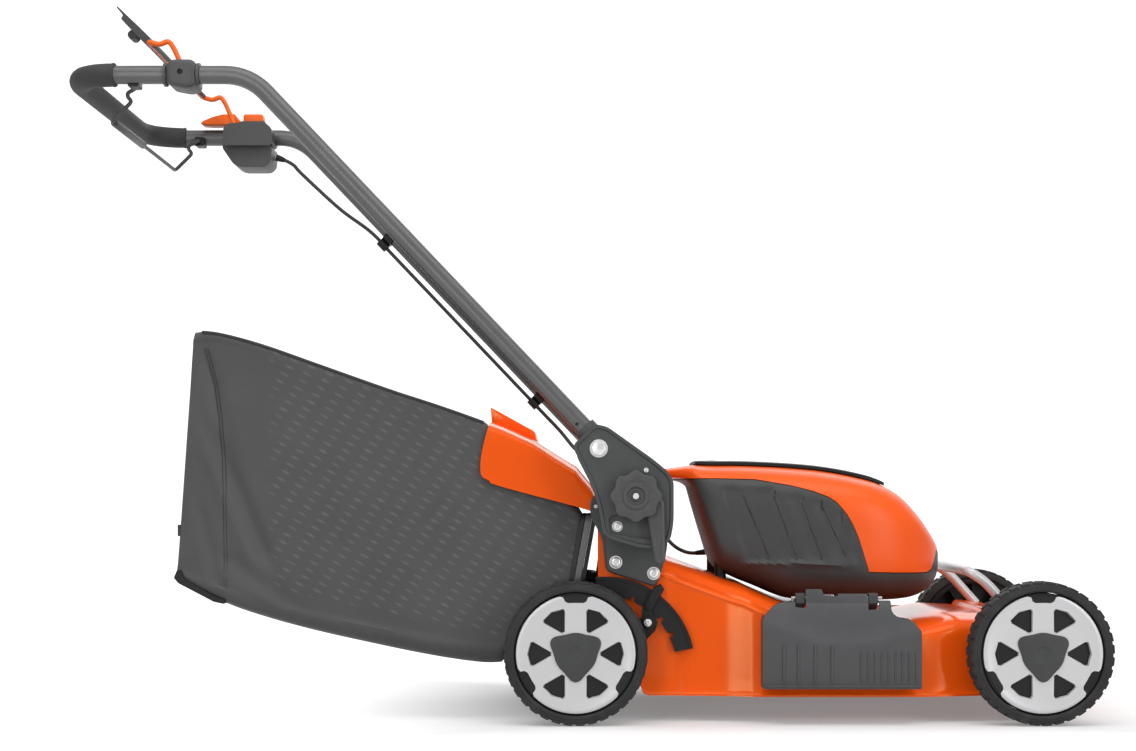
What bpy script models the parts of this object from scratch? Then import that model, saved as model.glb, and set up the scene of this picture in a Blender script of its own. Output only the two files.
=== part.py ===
# A cordless lawn mower: steel deck, motor and batteries, folding handle, grass bag and four wheels.
# Metres. +X is the mower's front, +Y its left side, +Z up, and the wheels stand on z = 0.

import math

import bmesh
import bpy
from mathutils import Matrix, Vector

# Driving dimensions
WHEEL_RADIUS = 0.105
WHEEL_Y = 0.255
WHEELBASE = 0.677
FRONT_AXLE_X = 0.6645
REAR_AXLE_X = FRONT_AXLE_X - WHEELBASE
AXLE_Z = WHEEL_RADIUS
TUBE_RADIUS = 0.0135
TUBE_WALL = 0.0015
TUBE_Y = 0.245
GAP = 0.0004

# Centres that several pieces share, as (x, z) unless a y is written
CRANK_OFFSET = (0.0427, -0.024)
REAR_CRANK = (REAR_AXLE_X + CRANK_OFFSET[0], AXLE_Z + CRANK_OFFSET[1])
FRONT_CRANK = (FRONT_AXLE_X + CRANK_OFFSET[0], AXLE_Z + CRANK_OFFSET[1])
LINK_ARM = 0.060
HANDLE_PIVOT = (0.0747, 0.3334)
BAIL_PIVOT = (-0.595, 0.958)
DRIVE_BAIL_PIVOT = (-0.660, 0.940)
FLAP_PIVOT = (0.0165, 0.3185)
MOTOR_X = 0.36
GRIP_Z = 0.950
SIDES = (("right", -1), ("left", 1))

# Colours as linear RGB, with roughness and metallic
FINISHES = {
    "orange_paint": ((0.90, 0.115, 0.008), 0.30, 0.0),
    "dark_plastic": ((0.055, 0.056, 0.060), 0.50, 0.0),
    "grey_plastic": ((0.115, 0.115, 0.120), 0.50, 0.0),
    "black_plastic": ((0.015, 0.015, 0.016), 0.45, 0.0),
    "dark_paint": ((0.040, 0.042, 0.045), 0.35, 0.0),
    "rubber": ((0.012, 0.012, 0.013), 0.75, 0.0),
    "silver_paint": ((0.60, 0.60, 0.61), 0.35, 0.6),
    "steel": ((0.55, 0.55, 0.56), 0.30, 1.0),
    "fabric": ((0.060, 0.060, 0.064), 0.90, 0.0),
}


def clear_scene():
    for obj in list(bpy.data.objects):
        bpy.data.objects.remove(obj, do_unlink=True)


def finish_material(name):
    material = bpy.data.materials.get(name)
    if material:
        return material
    colour, roughness, metallic = FINISHES[name]
    material = bpy.data.materials.new(name)
    material.use_nodes = True
    shader = material.node_tree.nodes["Principled BSDF"]
    shader.inputs["Base Color"].default_value = (*colour, 1.0)
    shader.inputs["Roughness"].default_value = roughness
    shader.inputs["Metallic"].default_value = metallic
    return material


def joint_empty(name, location, parent=None):
    empty = bpy.data.objects.new(name, None)
    bpy.context.scene.collection.objects.link(empty)
    empty.empty_display_size = 0.05
    base = Vector(parent["world"]) if parent else Vector((0, 0, 0))
    empty.location = Vector(location) - base
    empty["world"] = tuple(location)
    empty.parent = parent
    return empty


def piece(name, shape, finish, parent=None, smooth=35):
    """Turns a bmesh in world coordinates into an object whose origin is its parent empty's."""
    origin = Vector(parent["world"]) if parent else Vector((0, 0, 0))
    bmesh.ops.translate(shape, vec=-origin, verts=shape.verts)
    bmesh.ops.remove_doubles(shape, verts=shape.verts, dist=0.00001)
    bmesh.ops.recalc_face_normals(shape, faces=shape.faces)
    mesh = bpy.data.meshes.new(name)
    shape.to_mesh(mesh)
    shape.free()
    if smooth:
        mesh.shade_smooth()
        mesh.set_sharp_from_angle(angle=math.radians(smooth))
    mesh.materials.append(finish_material(finish))
    obj = bpy.data.objects.new(name, mesh)
    bpy.context.scene.collection.objects.link(obj)
    obj.parent = parent
    return obj


def boolean(target, other, operation):
    """Returns target cut by, or joined with, other, and frees both."""
    objects = []
    for shape in (target, other):
        bmesh.ops.recalc_face_normals(shape, faces=shape.faces)
        mesh = bpy.data.meshes.new("work")
        shape.to_mesh(mesh)
        shape.free()
        obj = bpy.data.objects.new("work", mesh)
        bpy.context.scene.collection.objects.link(obj)
        objects.append(obj)
    modifier = objects[0].modifiers.new("cut", "BOOLEAN")
    modifier.operation = operation
    modifier.solver = "EXACT"
    modifier.object = objects[1]
    graph = bpy.context.evaluated_depsgraph_get()
    evaluated = objects[0].evaluated_get(graph)
    result = bmesh.new()
    result.from_mesh(evaluated.to_mesh())
    evaluated.to_mesh_clear()
    for obj in objects:
        mesh = obj.data
        bpy.data.objects.remove(obj, do_unlink=True)
        bpy.data.meshes.remove(mesh)
    bmesh.ops.remove_doubles(result, verts=result.verts, dist=0.00001)
    return result


def cut(target, *others):
    for other in others:
        target = boolean(target, other, "DIFFERENCE")
    return target


def join(target, *others):
    for other in others:
        target = boolean(target, other, "UNION")
    return target


def bevel_all(shape, width, segments=2, angle=40):
    """Rounds every edge sharper than the angle."""
    limit = math.radians(angle)
    edges = [edge for edge in shape.edges if edge.is_manifold and edge.calc_face_angle() > limit]
    bmesh.ops.bevel(shape, geom=edges, offset=width, segments=segments, profile=0.6, affect="EDGES")
    return shape


def prism(outline, low, high, axis="Y", rounding=0.0, segments=2):
    """A straight prism: the outline is (x, z) for axis Y, (x, y) for Z and (y, z) for X."""
    place = {
        "Y": lambda a, b, depth: (a, depth, b),
        "Z": lambda a, b, depth: (a, b, depth),
        "X": lambda a, b, depth: (depth, a, b),
    }[axis]
    shape = bmesh.new()
    base = [shape.verts.new(place(a, b, low)) for a, b in outline]
    top = [shape.verts.new(place(a, b, high)) for a, b in outline]
    shape.faces.new(base)
    shape.faces.new(top)
    for index in range(len(outline)):
        after = (index + 1) % len(outline)
        shape.faces.new((base[index], base[after], top[after], top[index]))
    bmesh.ops.recalc_face_normals(shape, faces=shape.faces)
    if rounding:
        bevel_all(shape, rounding, segments)
    return shape


def block(x, y, z, rounding=0.0, segments=2):
    outline = ((x[0], z[0]), (x[1], z[0]), (x[1], z[1]), (x[0], z[1]))
    return prism(outline, y[0], y[1], "Y", rounding, segments)


def circle(centre, radius, count=24, start=0.0, end=2 * math.pi):
    closed = abs(end - start - 2 * math.pi) < 0.001
    steps = count if closed else count - 1
    angles = [start + (end - start) * index / steps for index in range(count)]
    return [(centre[0] + radius * math.cos(a), centre[1] + radius * math.sin(a)) for a in angles]


def rod(centre, radius, low, high, axis="Y", count=20, rounding=0.0):
    return prism(circle(centre, radius, count), low, high, axis, rounding)


def turned(profile, centre, axis="Y", count=32):
    """Spins a closed (radius, depth) profile round an axis through the centre."""
    shape = bmesh.new()
    rings = []
    for index in range(count):
        angle = 2 * math.pi * index / count
        ring = []
        for radius, depth in profile:
            a = centre[0] + radius * math.cos(angle)
            b = centre[1] + radius * math.sin(angle)
            ring.append(shape.verts.new((a, depth, b) if axis == "Y" else (a, b, depth)))
        rings.append(ring)
    for index in range(count):
        ring = rings[index]
        after = rings[(index + 1) % count]
        for k in range(len(profile)):
            m = (k + 1) % len(profile)
            shape.faces.new((ring[k], ring[m], after[m], after[k]))
    bmesh.ops.remove_doubles(shape, verts=shape.verts, dist=0.00001)
    bmesh.ops.dissolve_degenerate(shape, edges=shape.edges, dist=0.00001)
    bmesh.ops.recalc_face_normals(shape, faces=shape.faces)
    return shape


def rounded_path(points, reaches, steps=6):
    """Replaces each inner corner of a polyline by a smooth bend that starts one reach before it."""
    corners = [Vector(point) for point in points]
    path = [corners[0]]
    if isinstance(reaches, float):
        reaches = [reaches] * (len(corners) - 2)
    for before, corner, after, reach in zip(corners, corners[1:], corners[2:], reaches):
        reach = min(reach, 0.49 * (corner - before).length, 0.49 * (after - corner).length)
        start = corner + (before - corner).normalized() * reach
        end = corner + (after - corner).normalized() * reach
        for index in range(steps + 1):
            t = index / steps
            path.append(start * (1 - t) ** 2 + corner * 2 * t * (1 - t) + end * t * t)
    path.append(corners[-1])
    return path


def sweep(path, radius, sides=10, inner=None):
    """A tube along a path. With an inner radius it is a hollow sleeve with flat ends."""
    shape = bmesh.new()
    direction = (path[1] - path[0]).normalized()
    across = direction.orthogonal().normalized()
    rings = []
    for index, point in enumerate(path):
        before = path[max(index - 1, 0)]
        after = path[min(index + 1, len(path) - 1)]
        tangent = (after - before).normalized()
        across = (across - tangent * across.dot(tangent)).normalized()
        up = tangent.cross(across)
        walls = []
        for size in (radius,) if inner is None else (radius, inner):
            angles = [2 * math.pi * k / sides for k in range(sides)]
            spokes = [across * math.cos(a) + up * math.sin(a) for a in angles]
            walls.append([shape.verts.new(point + spoke * size) for spoke in spokes])
        rings.append(walls)
    for wall in range(len(rings[0])):
        for first, second in zip(rings, rings[1:]):
            for k in range(sides):
                m = (k + 1) % sides
                shape.faces.new((first[wall][k], first[wall][m], second[wall][m], second[wall][k]))
    for walls in (rings[0], rings[-1]):
        if inner is None:
            shape.faces.new(walls[0])
            continue
        for k in range(sides):
            m = (k + 1) % sides
            shape.faces.new((walls[0][k], walls[0][m], walls[1][m], walls[1][k]))
    bmesh.ops.recalc_face_normals(shape, faces=shape.faces)
    return shape


def signed_power(value, power):
    return math.copysign(abs(value) ** power, value)


def arch_row(x, half_width, bottom, top, shoulder, exponent=5.0, count=8):
    """An open section across the mower: up one side, over the rounded top and down the other."""
    middle = top - shoulder
    row = [(x, -half_width, bottom)]
    for index in range(count + 1):
        angle = math.pi * (1 - index / count)
        y = half_width * signed_power(math.cos(angle), 2 / exponent)
        z = middle + shoulder * abs(math.sin(angle)) ** (2 / exponent)
        row.append((x, y, z))
    row.append((x, half_width, bottom))
    return row


def oval_row(x, half_width, bottom, top, exponent=4.0, count=24):
    """A closed section across the mower with rounded corners."""
    middle = (bottom + top) / 2
    height = (top - bottom) / 2
    row = []
    for index in range(count):
        angle = 2 * math.pi * (index + 0.5) / count
        y = half_width * signed_power(math.cos(angle), 2 / exponent)
        z = middle + height * signed_power(math.sin(angle), 2 / exponent)
        row.append((x, y, z))
    return row


def skin(rows, closed=False, cap_first=False, cap_last=False):
    """Joins rows of points by quads."""
    shape = bmesh.new()
    rings = [[shape.verts.new(point) for point in row] for row in rows]
    count = len(rows[0])
    for first, second in zip(rings, rings[1:]):
        for k in range(count if closed else count - 1):
            m = (k + 1) % count
            shape.faces.new((first[k], first[m], second[m], second[k]))
    if cap_first:
        shape.faces.new(rings[0])
    if cap_last:
        shape.faces.new(rings[-1])
    bmesh.ops.recalc_face_normals(shape, faces=shape.faces)
    centre = sum((vert.co for vert in shape.verts), Vector()) / len(shape.verts)
    outward = sum((face.calc_center_median() - centre).dot(face.normal) for face in shape.faces)
    if outward < 0:
        bmesh.ops.reverse_faces(shape, faces=shape.faces)
    return shape


def thicken(shape, thickness):
    """Gives an open skin a wall that grows inwards."""
    mesh = bpy.data.meshes.new("work")
    shape.to_mesh(mesh)
    shape.free()
    obj = bpy.data.objects.new("work", mesh)
    bpy.context.scene.collection.objects.link(obj)
    modifier = obj.modifiers.new("wall", "SOLIDIFY")
    modifier.thickness = thickness
    modifier.offset = -1
    modifier.use_even_offset = True
    graph = bpy.context.evaluated_depsgraph_get()
    evaluated = obj.evaluated_get(graph)
    result = bmesh.new()
    result.from_mesh(evaluated.to_mesh())
    evaluated.to_mesh_clear()
    bpy.data.objects.remove(obj, do_unlink=True)
    bpy.data.meshes.remove(mesh)
    return result

# Deck: stations from the rear chute to the nose, each (x, half width, rim, top)
CHUTE_FLOOR = ((0.020, 0.188), (0.088, 0.042))
DECK_STATIONS = (
    (0.020, 0.200, 0.190, 0.306),
    (0.050, 0.202, 0.130, 0.287),
    (0.084, 0.204, 0.054, 0.264),
    (0.0885, 0.204, 0.038, 0.261),
    (0.125, 0.205, 0.038, 0.241),
    (0.165, 0.206, 0.038, 0.226),
    (0.210, 0.219, 0.038, 0.210),
    (0.260, 0.225, 0.038, 0.1910),
    (0.310, 0.226, 0.038, 0.1715),
    (0.360, 0.226, 0.038, 0.1670),
    (0.410, 0.226, 0.038, 0.1600),
    (0.450, 0.226, 0.038, 0.1510),
    (0.485, 0.226, 0.038, 0.1470),
    (0.515, 0.223, 0.038, 0.1520),
    (0.550, 0.216, 0.038, 0.1590),
    (0.600, 0.203, 0.038, 0.1570),
    (0.660, 0.192, 0.038, 0.1520),
    (0.710, 0.176, 0.038, 0.1470),
    (0.735, 0.150, 0.038, 0.1400),
)
DECK_WALL = 0.0022
SHAFT_HOLE = 0.0215

# Two lugs on the deck's right shoulder hold the discharge cover's hinge rod, which is at this (y, z)
COVER_HINGE = (-0.2335, 0.1840)
LUG_X = ((0.3095, 0.3235), (0.4165, 0.4305))


def deck_shell(root):
    rows = [arch_row(x, width, rim, top, 0.05) for x, width, rim, top in DECK_STATIONS]
    shape = thicken(skin(rows, cap_last=True), DECK_WALL)
    shape = cut(
        shape,
        rod((MOTOR_X, 0), SHAFT_HOLE, 0.10, 0.25, "Z"),
        rod(FRONT_CRANK, 0.0085, -0.25, 0.25),
        block((0.275, 0.475), (-0.30, -0.19), (0.060, 0.128)),
    )
    for low, high in LUG_X:
        top = station_values(DECK_STATIONS, (low + high) / 2)[3]
        outline = (
            (-0.2400, 0.1785), (-0.2400, 0.1900), (-0.2260, 0.1900), (-0.2050, top - 0.0020),
            (-0.2050, top - 0.0145), (-0.2180, top - 0.0205), (-0.2250, 0.1665),
        )
        lug = cut(prism(outline, low, high, "X"), rod(COVER_HINGE, 0.0029, 0.2, 0.6, "X", 12))
        shape = join(shape, lug)
    piece("deck_shell", shape, "orange_paint", root)


def chute_floor(root):
    """The sloping plate between the blade chamber and the rear axle."""
    (x0, z0), (x1, z1) = CHUTE_FLOOR
    outline = ((x0 + 0.004, z0), (x1 - 0.001, z1), (x1 + 0.003, z1), (x0 + 0.008, z0))
    piece("chute_floor", prism(outline, -0.196, 0.196), "dark_paint", root)


# Motor unit hull: stations (x, half width, bottom, top)
HULL_STATIONS = (
    (0.125, 0.112, 0.3620, 0.3770),
    (0.163, 0.140, 0.3500, 0.3820),
    (0.172, 0.146, 0.3200, 0.3825),
    (0.185, 0.152, 0.2750, 0.3830),
    (0.202, 0.158, 0.2250, 0.3835),
    (0.225, 0.163, 0.2100, 0.3835),
    (0.260, 0.168, 0.1955, 0.3825),
    (0.310, 0.171, 0.1760, 0.3800),
    (0.360, 0.171, 0.1725, 0.3755),
    (0.410, 0.168, 0.1720, 0.3670),
    (0.450, 0.161, 0.1720, 0.3560),
    (0.485, 0.149, 0.1735, 0.3370),
    (0.512, 0.131, 0.1785, 0.3100),
    (0.532, 0.108, 0.1890, 0.2840),
    (0.545, 0.082, 0.2040, 0.2650),
    (0.551, 0.058, 0.2180, 0.2520),
)
HULL_WALL = 0.004
SEAM = (
    (0.100, 0.3605),
    (0.2574, 0.3600),
    (0.3145, 0.3490),
    (0.3560, 0.3370),
    (0.3800, 0.3240),
    (0.3949, 0.3060),
    (0.4100, 0.2800),
    (0.4200, 0.2500),
    (0.4287, 0.2190),
    (0.5800, 0.2190),
)
LID_X = (0.170, 0.462)
LID_HALF_WIDTH = 0.100
LID_HINGE = (0.4655, 0.3560)


def station_values(stations, x):
    """The station's values at any x, on straight lines between the written stations."""
    for low, high in zip(stations, stations[1:]):
        if x <= high[0]:
            t = (x - low[0]) / (high[0] - low[0])
            return [a * (1 - t) + b * t for a, b in zip(low, high)]
    return stations[-1]


def hull_top(x, y):
    """Height of the hull's upper surface."""
    _, width, bottom, top = station_values(HULL_STATIONS, x)
    rise = max(0.0, 1 - abs(y / width) ** 4.0) ** (1 / 4.0)
    return (bottom + top) / 2 + (top - bottom) / 2 * rise


def hull(inset):
    rows = []
    for x, width, bottom, top in HULL_STATIONS:
        if inset and not 0.180 < x < 0.547:
            continue
        rows.append(oval_row(x, width - inset, bottom + inset, top - inset, 4.0, 20))
    return skin(rows, closed=True, cap_first=True, cap_last=True)


def above_seam(shift):
    outline = [(x, z + shift) for x, z in SEAM] + [(0.580, 0.450), (0.100, 0.450)]
    return prism(outline, -0.25, 0.25)


def motor_housing(root):
    well = block((0.196, 0.436), (-0.088, 0.088), (0.30, 0.42))
    cover = cut(boolean(hull(0.0), above_seam(GAP), "INTERSECT"), hull(HULL_WALL), well)
    piece("motor_cover", cover, "orange_paint", root)
    base = cut(hull(0.0), above_seam(-GAP), hull(HULL_WALL), rod((MOTOR_X, 0), 0.030, 0.15, 0.22, "Z"))
    piece("motor_base", base, "dark_plastic", root)


def battery_packs(root):
    for name, side in SIDES:
        y = (0.006, 0.082) if side > 0 else (-0.082, -0.006)
        shape = block((0.204, 0.428), y, (0.262, 0.340), 0.006, 1)
        piece(f"battery_pack_{name}", shape, "black_plastic", root)


def motor_stator(root):
    """The motor's can stands on the deck, open at its centre for the shaft."""
    profile = (
        (0.030, 0.199), (0.060, 0.199), (0.064, 0.203), (0.064, 0.246), (0.056, 0.254), (0.030, 0.254),
    )
    piece("motor_stator", turned(profile, (MOTOR_X, 0), "Z"), "steel", root)


# Bracket plates: the fixed lower plate beside the deck and the upper one that turns with the handle
LOWER_PLATE = (
    (0.0315, 0.2225), (0.0260, 0.2730), (0.0090, 0.3020), (0.0080, 0.3270),
    (0.0400, 0.3640), (0.1000, 0.3620), (0.1200, 0.3300), (0.1230, 0.2620),
    (0.1190, 0.2390), (0.1060, 0.1990),
)
UPPER_BRACKET = (
    (0.0270, 0.2745), (0.0225, 0.3100), (0.0110, 0.3500), (-0.0080, 0.3870), (-0.0180, 0.4070),
    (0.0110, 0.4340), (0.0170, 0.4380), (0.0330, 0.4350), (0.1020, 0.3860), (0.1230, 0.3680),
    (0.1300, 0.3550), (0.1300, 0.2940), (0.1240, 0.2640), (0.0900, 0.2560),
)
PLATE_Y = (0.2085, 0.2145)
UPPER_Y = (0.2235, 0.2635)
KNOB_BOLT = 0.005


def span(y_range, side):
    """The low and high y of a right-hand or left-hand piece."""
    return (y_range[0], y_range[1]) if side > 0 else (-y_range[1], -y_range[0])


def axle_leg(side):
    """The leg that holds the rear crank's shaft beside the deck."""
    cx, cz = REAR_CRANK
    outline = (
        (cx - 0.020, cz - 0.012), (cx + 0.020, cz - 0.012),
        (cx + 0.026, cz + 0.100), (cx - 0.014, cz + 0.112),
    )
    return prism(outline, *span(QUADRANT_Y, side))


def lower_plates(root):
    """Each plate holds the handle's pivot bolt and the flap's rod; the left one also the crank's shaft."""
    cx, cz = REAR_CRANK
    leg = ((0.0600, 0.2000), (cx + 0.020, cz - 0.012), (cx - 0.020, cz - 0.012), (0.0162, 0.2000))
    for name, side in SIDES:
        outline = LOWER_PLATE if side < 0 else LOWER_PLATE[1:] + leg
        shape = prism(outline, *span(PLATE_Y, side), "Y", 0.002, 1)
        shape = cut(
            shape,
            rod(HANDLE_PIVOT, KNOB_BOLT + GAP, -0.3, 0.3),
            rod(FLAP_PIVOT, 0.0034, -0.3, 0.3, "Y", 12),
            rod(REAR_CRANK, 0.0074, -0.3, 0.3),
        )
        piece(f"bracket_plate_{name}", shape, "dark_plastic", root)


QUADRANT_REACH = (0.1055, 0.1335)
QUADRANT_Y = (0.2085, 0.2125)
QUADRANT_NOTCHES = 5


def quadrant_outline():
    """An arc-shaped plate round the rear crank, notched along its inner edge."""
    inner, outer = QUADRANT_REACH
    low, high = math.radians(12), math.radians(96)
    points = circle(REAR_CRANK, outer, 20, low, high)
    step = (high - low) / (QUADRANT_NOTCHES + 1)
    points += circle(REAR_CRANK, inner, 2, high, high - 0.05)
    for index in range(QUADRANT_NOTCHES):
        angle = high - step * (index + 1)
        width = 0.035
        corners = ((1, 0), (0.6, 0.007), (-0.6, 0.007), (-1, 0))
        for turn, depth in corners:
            a = angle + turn * width
            radius = inner + depth
            points.append((REAR_CRANK[0] + radius * math.cos(a), REAR_CRANK[1] + radius * math.sin(a)))
    return points + circle(REAR_CRANK, inner, 2, low + 0.05, low)


def height_quadrant(root):
    low, high = span(QUADRANT_Y, -1)
    shape = join(axle_leg(-1), prism(quadrant_outline(), low, high))
    shape = cut(shape, rod(REAR_CRANK, 0.0074, -0.3, 0.3))
    piece("height_quadrant", shape, "black_plastic", root)


def front_carry_handle(root):
    """A tube bow before the motor: up and back from the deck's shoulder, across and down again."""
    half = 0.145
    points = [(0.650, -half, 0.1600), (0.606, -half, 0.2050), (0.581, -half, 0.2206)]
    points += [(x, abs(y), z) for x, y, z in reversed(points)]
    shape = sweep(rounded_path(points, 0.024, 3), 0.0075, 8)
    piece("front_carry_handle", shape, "silver_paint", root)


def drive_cable_lower(root):
    """The cable's lower stretch, from the left bracket to the motor housing."""
    points = [
        (0.1310, 0.200, 0.270), (0.1500, 0.188, 0.250), (0.1700, 0.180, 0.240), (0.1880, 0.166, 0.239),
    ]
    cable("control_cable_lower", points, 0.0032, root)


def cable(name, points, radius, parent):
    """A held cable: a curve with filled caps, whose points lie on a smooth line through the route."""
    origin = Vector(parent["world"]) if parent else Vector((0, 0, 0))
    path = smooth_route(points, radius * 8)
    data = bpy.data.curves.new(name, "CURVE")
    data.dimensions = "3D"
    data.bevel_depth = radius
    data.bevel_resolution = 2
    data.use_fill_caps = True
    spline = data.splines.new("POLY")
    spline.points.add(len(path) - 1)
    for point, place in zip(spline.points, path):
        point.co = (*(place - origin), 1.0)
    data.materials.append(finish_material("black_plastic"))
    obj = bpy.data.objects.new(name, data)
    bpy.context.scene.collection.objects.link(obj)
    obj.parent = parent
    return obj


def smooth_route(points, step):
    """Points about one step apart on a Catmull-Rom curve through the route."""
    route = [Vector(point) for point in points]
    route = [route[0] * 2 - route[1]] + route + [route[-1] * 2 - route[-2]]
    path = []
    for a, b, c, d in zip(route, route[1:], route[2:], route[3:]):
        count = max(1, round((c - b).length / step))
        for index in range(count):
            t = index / count
            path.append(0.5 * (2 * b + (c - a) * t + (2 * a - 5 * b + 4 * c - d) * t * t
                               + (3 * b - a - 3 * c + d) * t ** 3))
    path.append(route[-2])
    return path


# Cranks that carry the wheels, and the rod that turns them together
ARM_Y = (0.2195, 0.2255)
LINK_Y = (0.2265, 0.2305)
SHAFT_RADIUS = 0.007
STUB_RADIUS = 0.006


def capsule(first, second, first_radius, second_radius, low, high):
    """A plate with round ends between two centres."""
    heading = math.atan2(second[1] - first[1], second[0] - first[0])
    quarter = math.pi / 2
    outline = circle(second, second_radius, 6, heading - quarter, heading + quarter)
    outline += circle(first, first_radius, 6, heading + quarter, heading + 3 * quarter)
    return prism(outline, low, high)


def crank(name, centre, axle, parent):
    """A shaft across the mower with an arm and a wheel stub at each end, welded into one piece."""
    shape = rod(centre, SHAFT_RADIUS, -ARM_Y[0] - 0.003, ARM_Y[0] + 0.003, "Y", 12)
    for _, side in SIDES:
        low, high = span(ARM_Y, side)
        shape = join(shape, capsule(centre, axle, 0.013, 0.011, low, high))
        shape = join(shape, rod(axle, STUB_RADIUS, *span((ARM_Y[0] + 0.001, 0.2735), side), "Y", 12))
    link_pin = (centre[0], centre[1] + LINK_ARM)
    shape = join(shape, capsule(centre, link_pin, 0.011, 0.009, *ARM_Y))
    shape = join(shape, rod(link_pin, 0.004, ARM_Y[0] + 0.001, LINK_Y[1] + 0.0008, "Y", 12))
    piece(name, shape, "dark_paint", parent)


def height_lever(parent):
    cx, cz = REAR_CRANK
    outline = circle(REAR_CRANK, 0.014, 10, math.radians(150), math.radians(315))
    outline += [(0.1050, 0.1350), (0.1085, 0.1480), (0.0990, 0.1640), (0.1180, 0.1960), (0.1130, 0.2040)]
    outline += [(0.1030, 0.2010), (0.0850, 0.1660), (0.0840, 0.1540)]
    shape = prism(outline, -0.2185, -0.2155)
    shape = cut(shape, rod(REAR_CRANK, SHAFT_RADIUS + GAP, -0.3, 0.3, "Y", 16))
    piece("height_lever", shape, "black_plastic", parent)


def drive_gearbox(parent):
    axle = (REAR_AXLE_X, AXLE_Z)
    shape = rod(axle, 0.030, -0.062, 0.062, "Y", 20)
    shape = join(shape, rod(axle, 0.011, -0.2185, 0.2185, "Y", 16))
    shape = join(shape, rod((REAR_AXLE_X - 0.014, AXLE_Z + 0.012), 0.022, 0.055, 0.150, "Y", 20))
    piece("drive_gearbox", shape, "dark_plastic", parent)


def link_rod(parent):
    z = REAR_CRANK[1] + LINK_ARM
    ends = ((REAR_CRANK[0], z), (FRONT_CRANK[0], z))
    shape = capsule(ends[0], ends[1], 0.008, 0.008, *LINK_Y)
    for end in ends:
        shape = cut(shape, rod(end, 0.0046, 0.2, 0.3, "Y", 12))
    piece("height_link_rod", shape, "steel", parent)


# Wheels: profiles are (radius, depth), with depth growing towards the outer face
HUB_RADIUS = 0.0882
TYRE_PROFILE = (
    (0.0891, -0.0212), (0.0980, -0.0225), (WHEEL_RADIUS, -0.0140),
    (WHEEL_RADIUS, 0.0140), (0.0980, 0.0225), (0.0891, 0.0212),
)
HUB_PROFILE = (
    (0.0066, -0.0205), (0.0180, -0.0205), (0.0190, 0.0120), (0.0790, 0.0135), (0.0800, -0.0205),
    (HUB_RADIUS, -0.0205), (HUB_RADIUS, 0.0205), (0.0800, 0.0225), (0.0360, 0.0190), (0.0066, 0.0190),
)
WINDOW = ((0.038, -5), (0.068, -18), (0.073, 0), (0.068, 18), (0.038, 5))
WINDOW_COUNT = 6
CAP_LOBES = 3


def wheel_shapes():
    tyre = turned(TYRE_PROFILE, (0, 0), "Y", 32)
    hub = turned(HUB_PROFILE, (0, 0), "Y", 18)
    for index in range(WINDOW_COUNT):
        turn = 2 * math.pi * index / WINDOW_COUNT
        outline = []
        for radius, degrees in WINDOW:
            angle = turn + math.radians(degrees)
            outline.append((radius * math.cos(angle), radius * math.sin(angle)))
        hub = cut(hub, prism(outline, 0.0, 0.04))
    outline = []
    for index in range(30):
        angle = 2 * math.pi * index / 30
        radius = 0.0325 + 0.0035 * math.cos(CAP_LOBES * (angle - math.radians(30)))
        outline.append((radius * math.cos(angle), radius * math.sin(angle)))
    cap = prism(outline, 0.0194, 0.0245)
    return (("tyre", tyre, "rubber"), ("hub", hub, "silver_paint"), ("hub_cap", cap, "dark_plastic"))


def wheels(cranks):
    for label, shape, finish in wheel_shapes():
        for end, x in (("rear", REAR_AXLE_X), ("front", FRONT_AXLE_X)):
            for name, side in SIDES:
                copy = shape.copy()
                turn = math.pi if side < 0 else 0.0
                about_z = Matrix.Rotation(turn, 3, "Z")
                bmesh.ops.rotate(copy, cent=(0, 0, 0), matrix=about_z, verts=copy.verts)
                centre = (x, side * WHEEL_Y, AXLE_Z)
                bmesh.ops.translate(copy, vec=centre, verts=copy.verts)
                axis_name = f"wheel_axis_{end}_{name}"
                axis = bpy.data.objects.get(axis_name) or joint_empty(axis_name, centre, cranks[end])
                piece(f"{label}_{end}_{name}", copy, finish, axis)
        shape.free()


# Blade group under the deck
BLADE_HALF = 0.210
BLADE_Z = (0.0555, 0.0595)
WING_OUTLINE = ((0.0205, 0.0570), (0.0170, 0.0570), (0.0220, 0.0720), (0.0250, 0.0720))


def blade_group(parent):
    profile = (
        (0.0056, 0.0600), (0.0300, 0.0600), (0.0300, 0.0680), (0.0125, 0.0720), (0.0125, 0.2520),
        (0.0056, 0.2520),
    )
    piece("blade_shaft", turned(profile, (MOTOR_X, 0), "Z", 20), "steel", parent)
    outline = (
        (MOTOR_X - BLADE_HALF, -0.020), (MOTOR_X - 0.060, -0.026), (MOTOR_X + 0.060, -0.026),
        (MOTOR_X + BLADE_HALF, -0.024), (MOTOR_X + BLADE_HALF, 0.020), (MOTOR_X + 0.060, 0.026),
        (MOTOR_X - 0.060, 0.026), (MOTOR_X - BLADE_HALF, 0.024),
    )
    blade = prism(outline, *BLADE_Z, "Z")
    for side in (-1, 1):
        x = sorted((MOTOR_X + side * BLADE_HALF, MOTOR_X + side * 0.140))
        wing = [(side * y, z) for y, z in WING_OUTLINE]
        blade = join(blade, prism(wing, x[0] + 0.002, x[1], "X"))
    blade = cut(blade, rod((MOTOR_X, 0), 0.0060, 0.0, 0.1, "Z", 16))
    piece("blade", blade, "steel", parent)
    head = rod((MOTOR_X, 0), 0.0120, 0.0465, 0.0550, "Z", 6)
    bolt = join(head, rod((MOTOR_X, 0), 0.0050, 0.0540, 0.0900, "Z", 16))
    piece("blade_bolt", bolt, "steel", parent)


# Handle: one bent tube from bracket to bracket
LEG_FOOT = (0.0340, 0.3982)
LEG_BEND = (-0.4908, GRIP_Z)
GRIP_X = -0.7525
GRIP_START = -0.686
LEG_REACH = 0.036
GRIP_REACH = 0.077
CHANNEL = 0.0143


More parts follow.
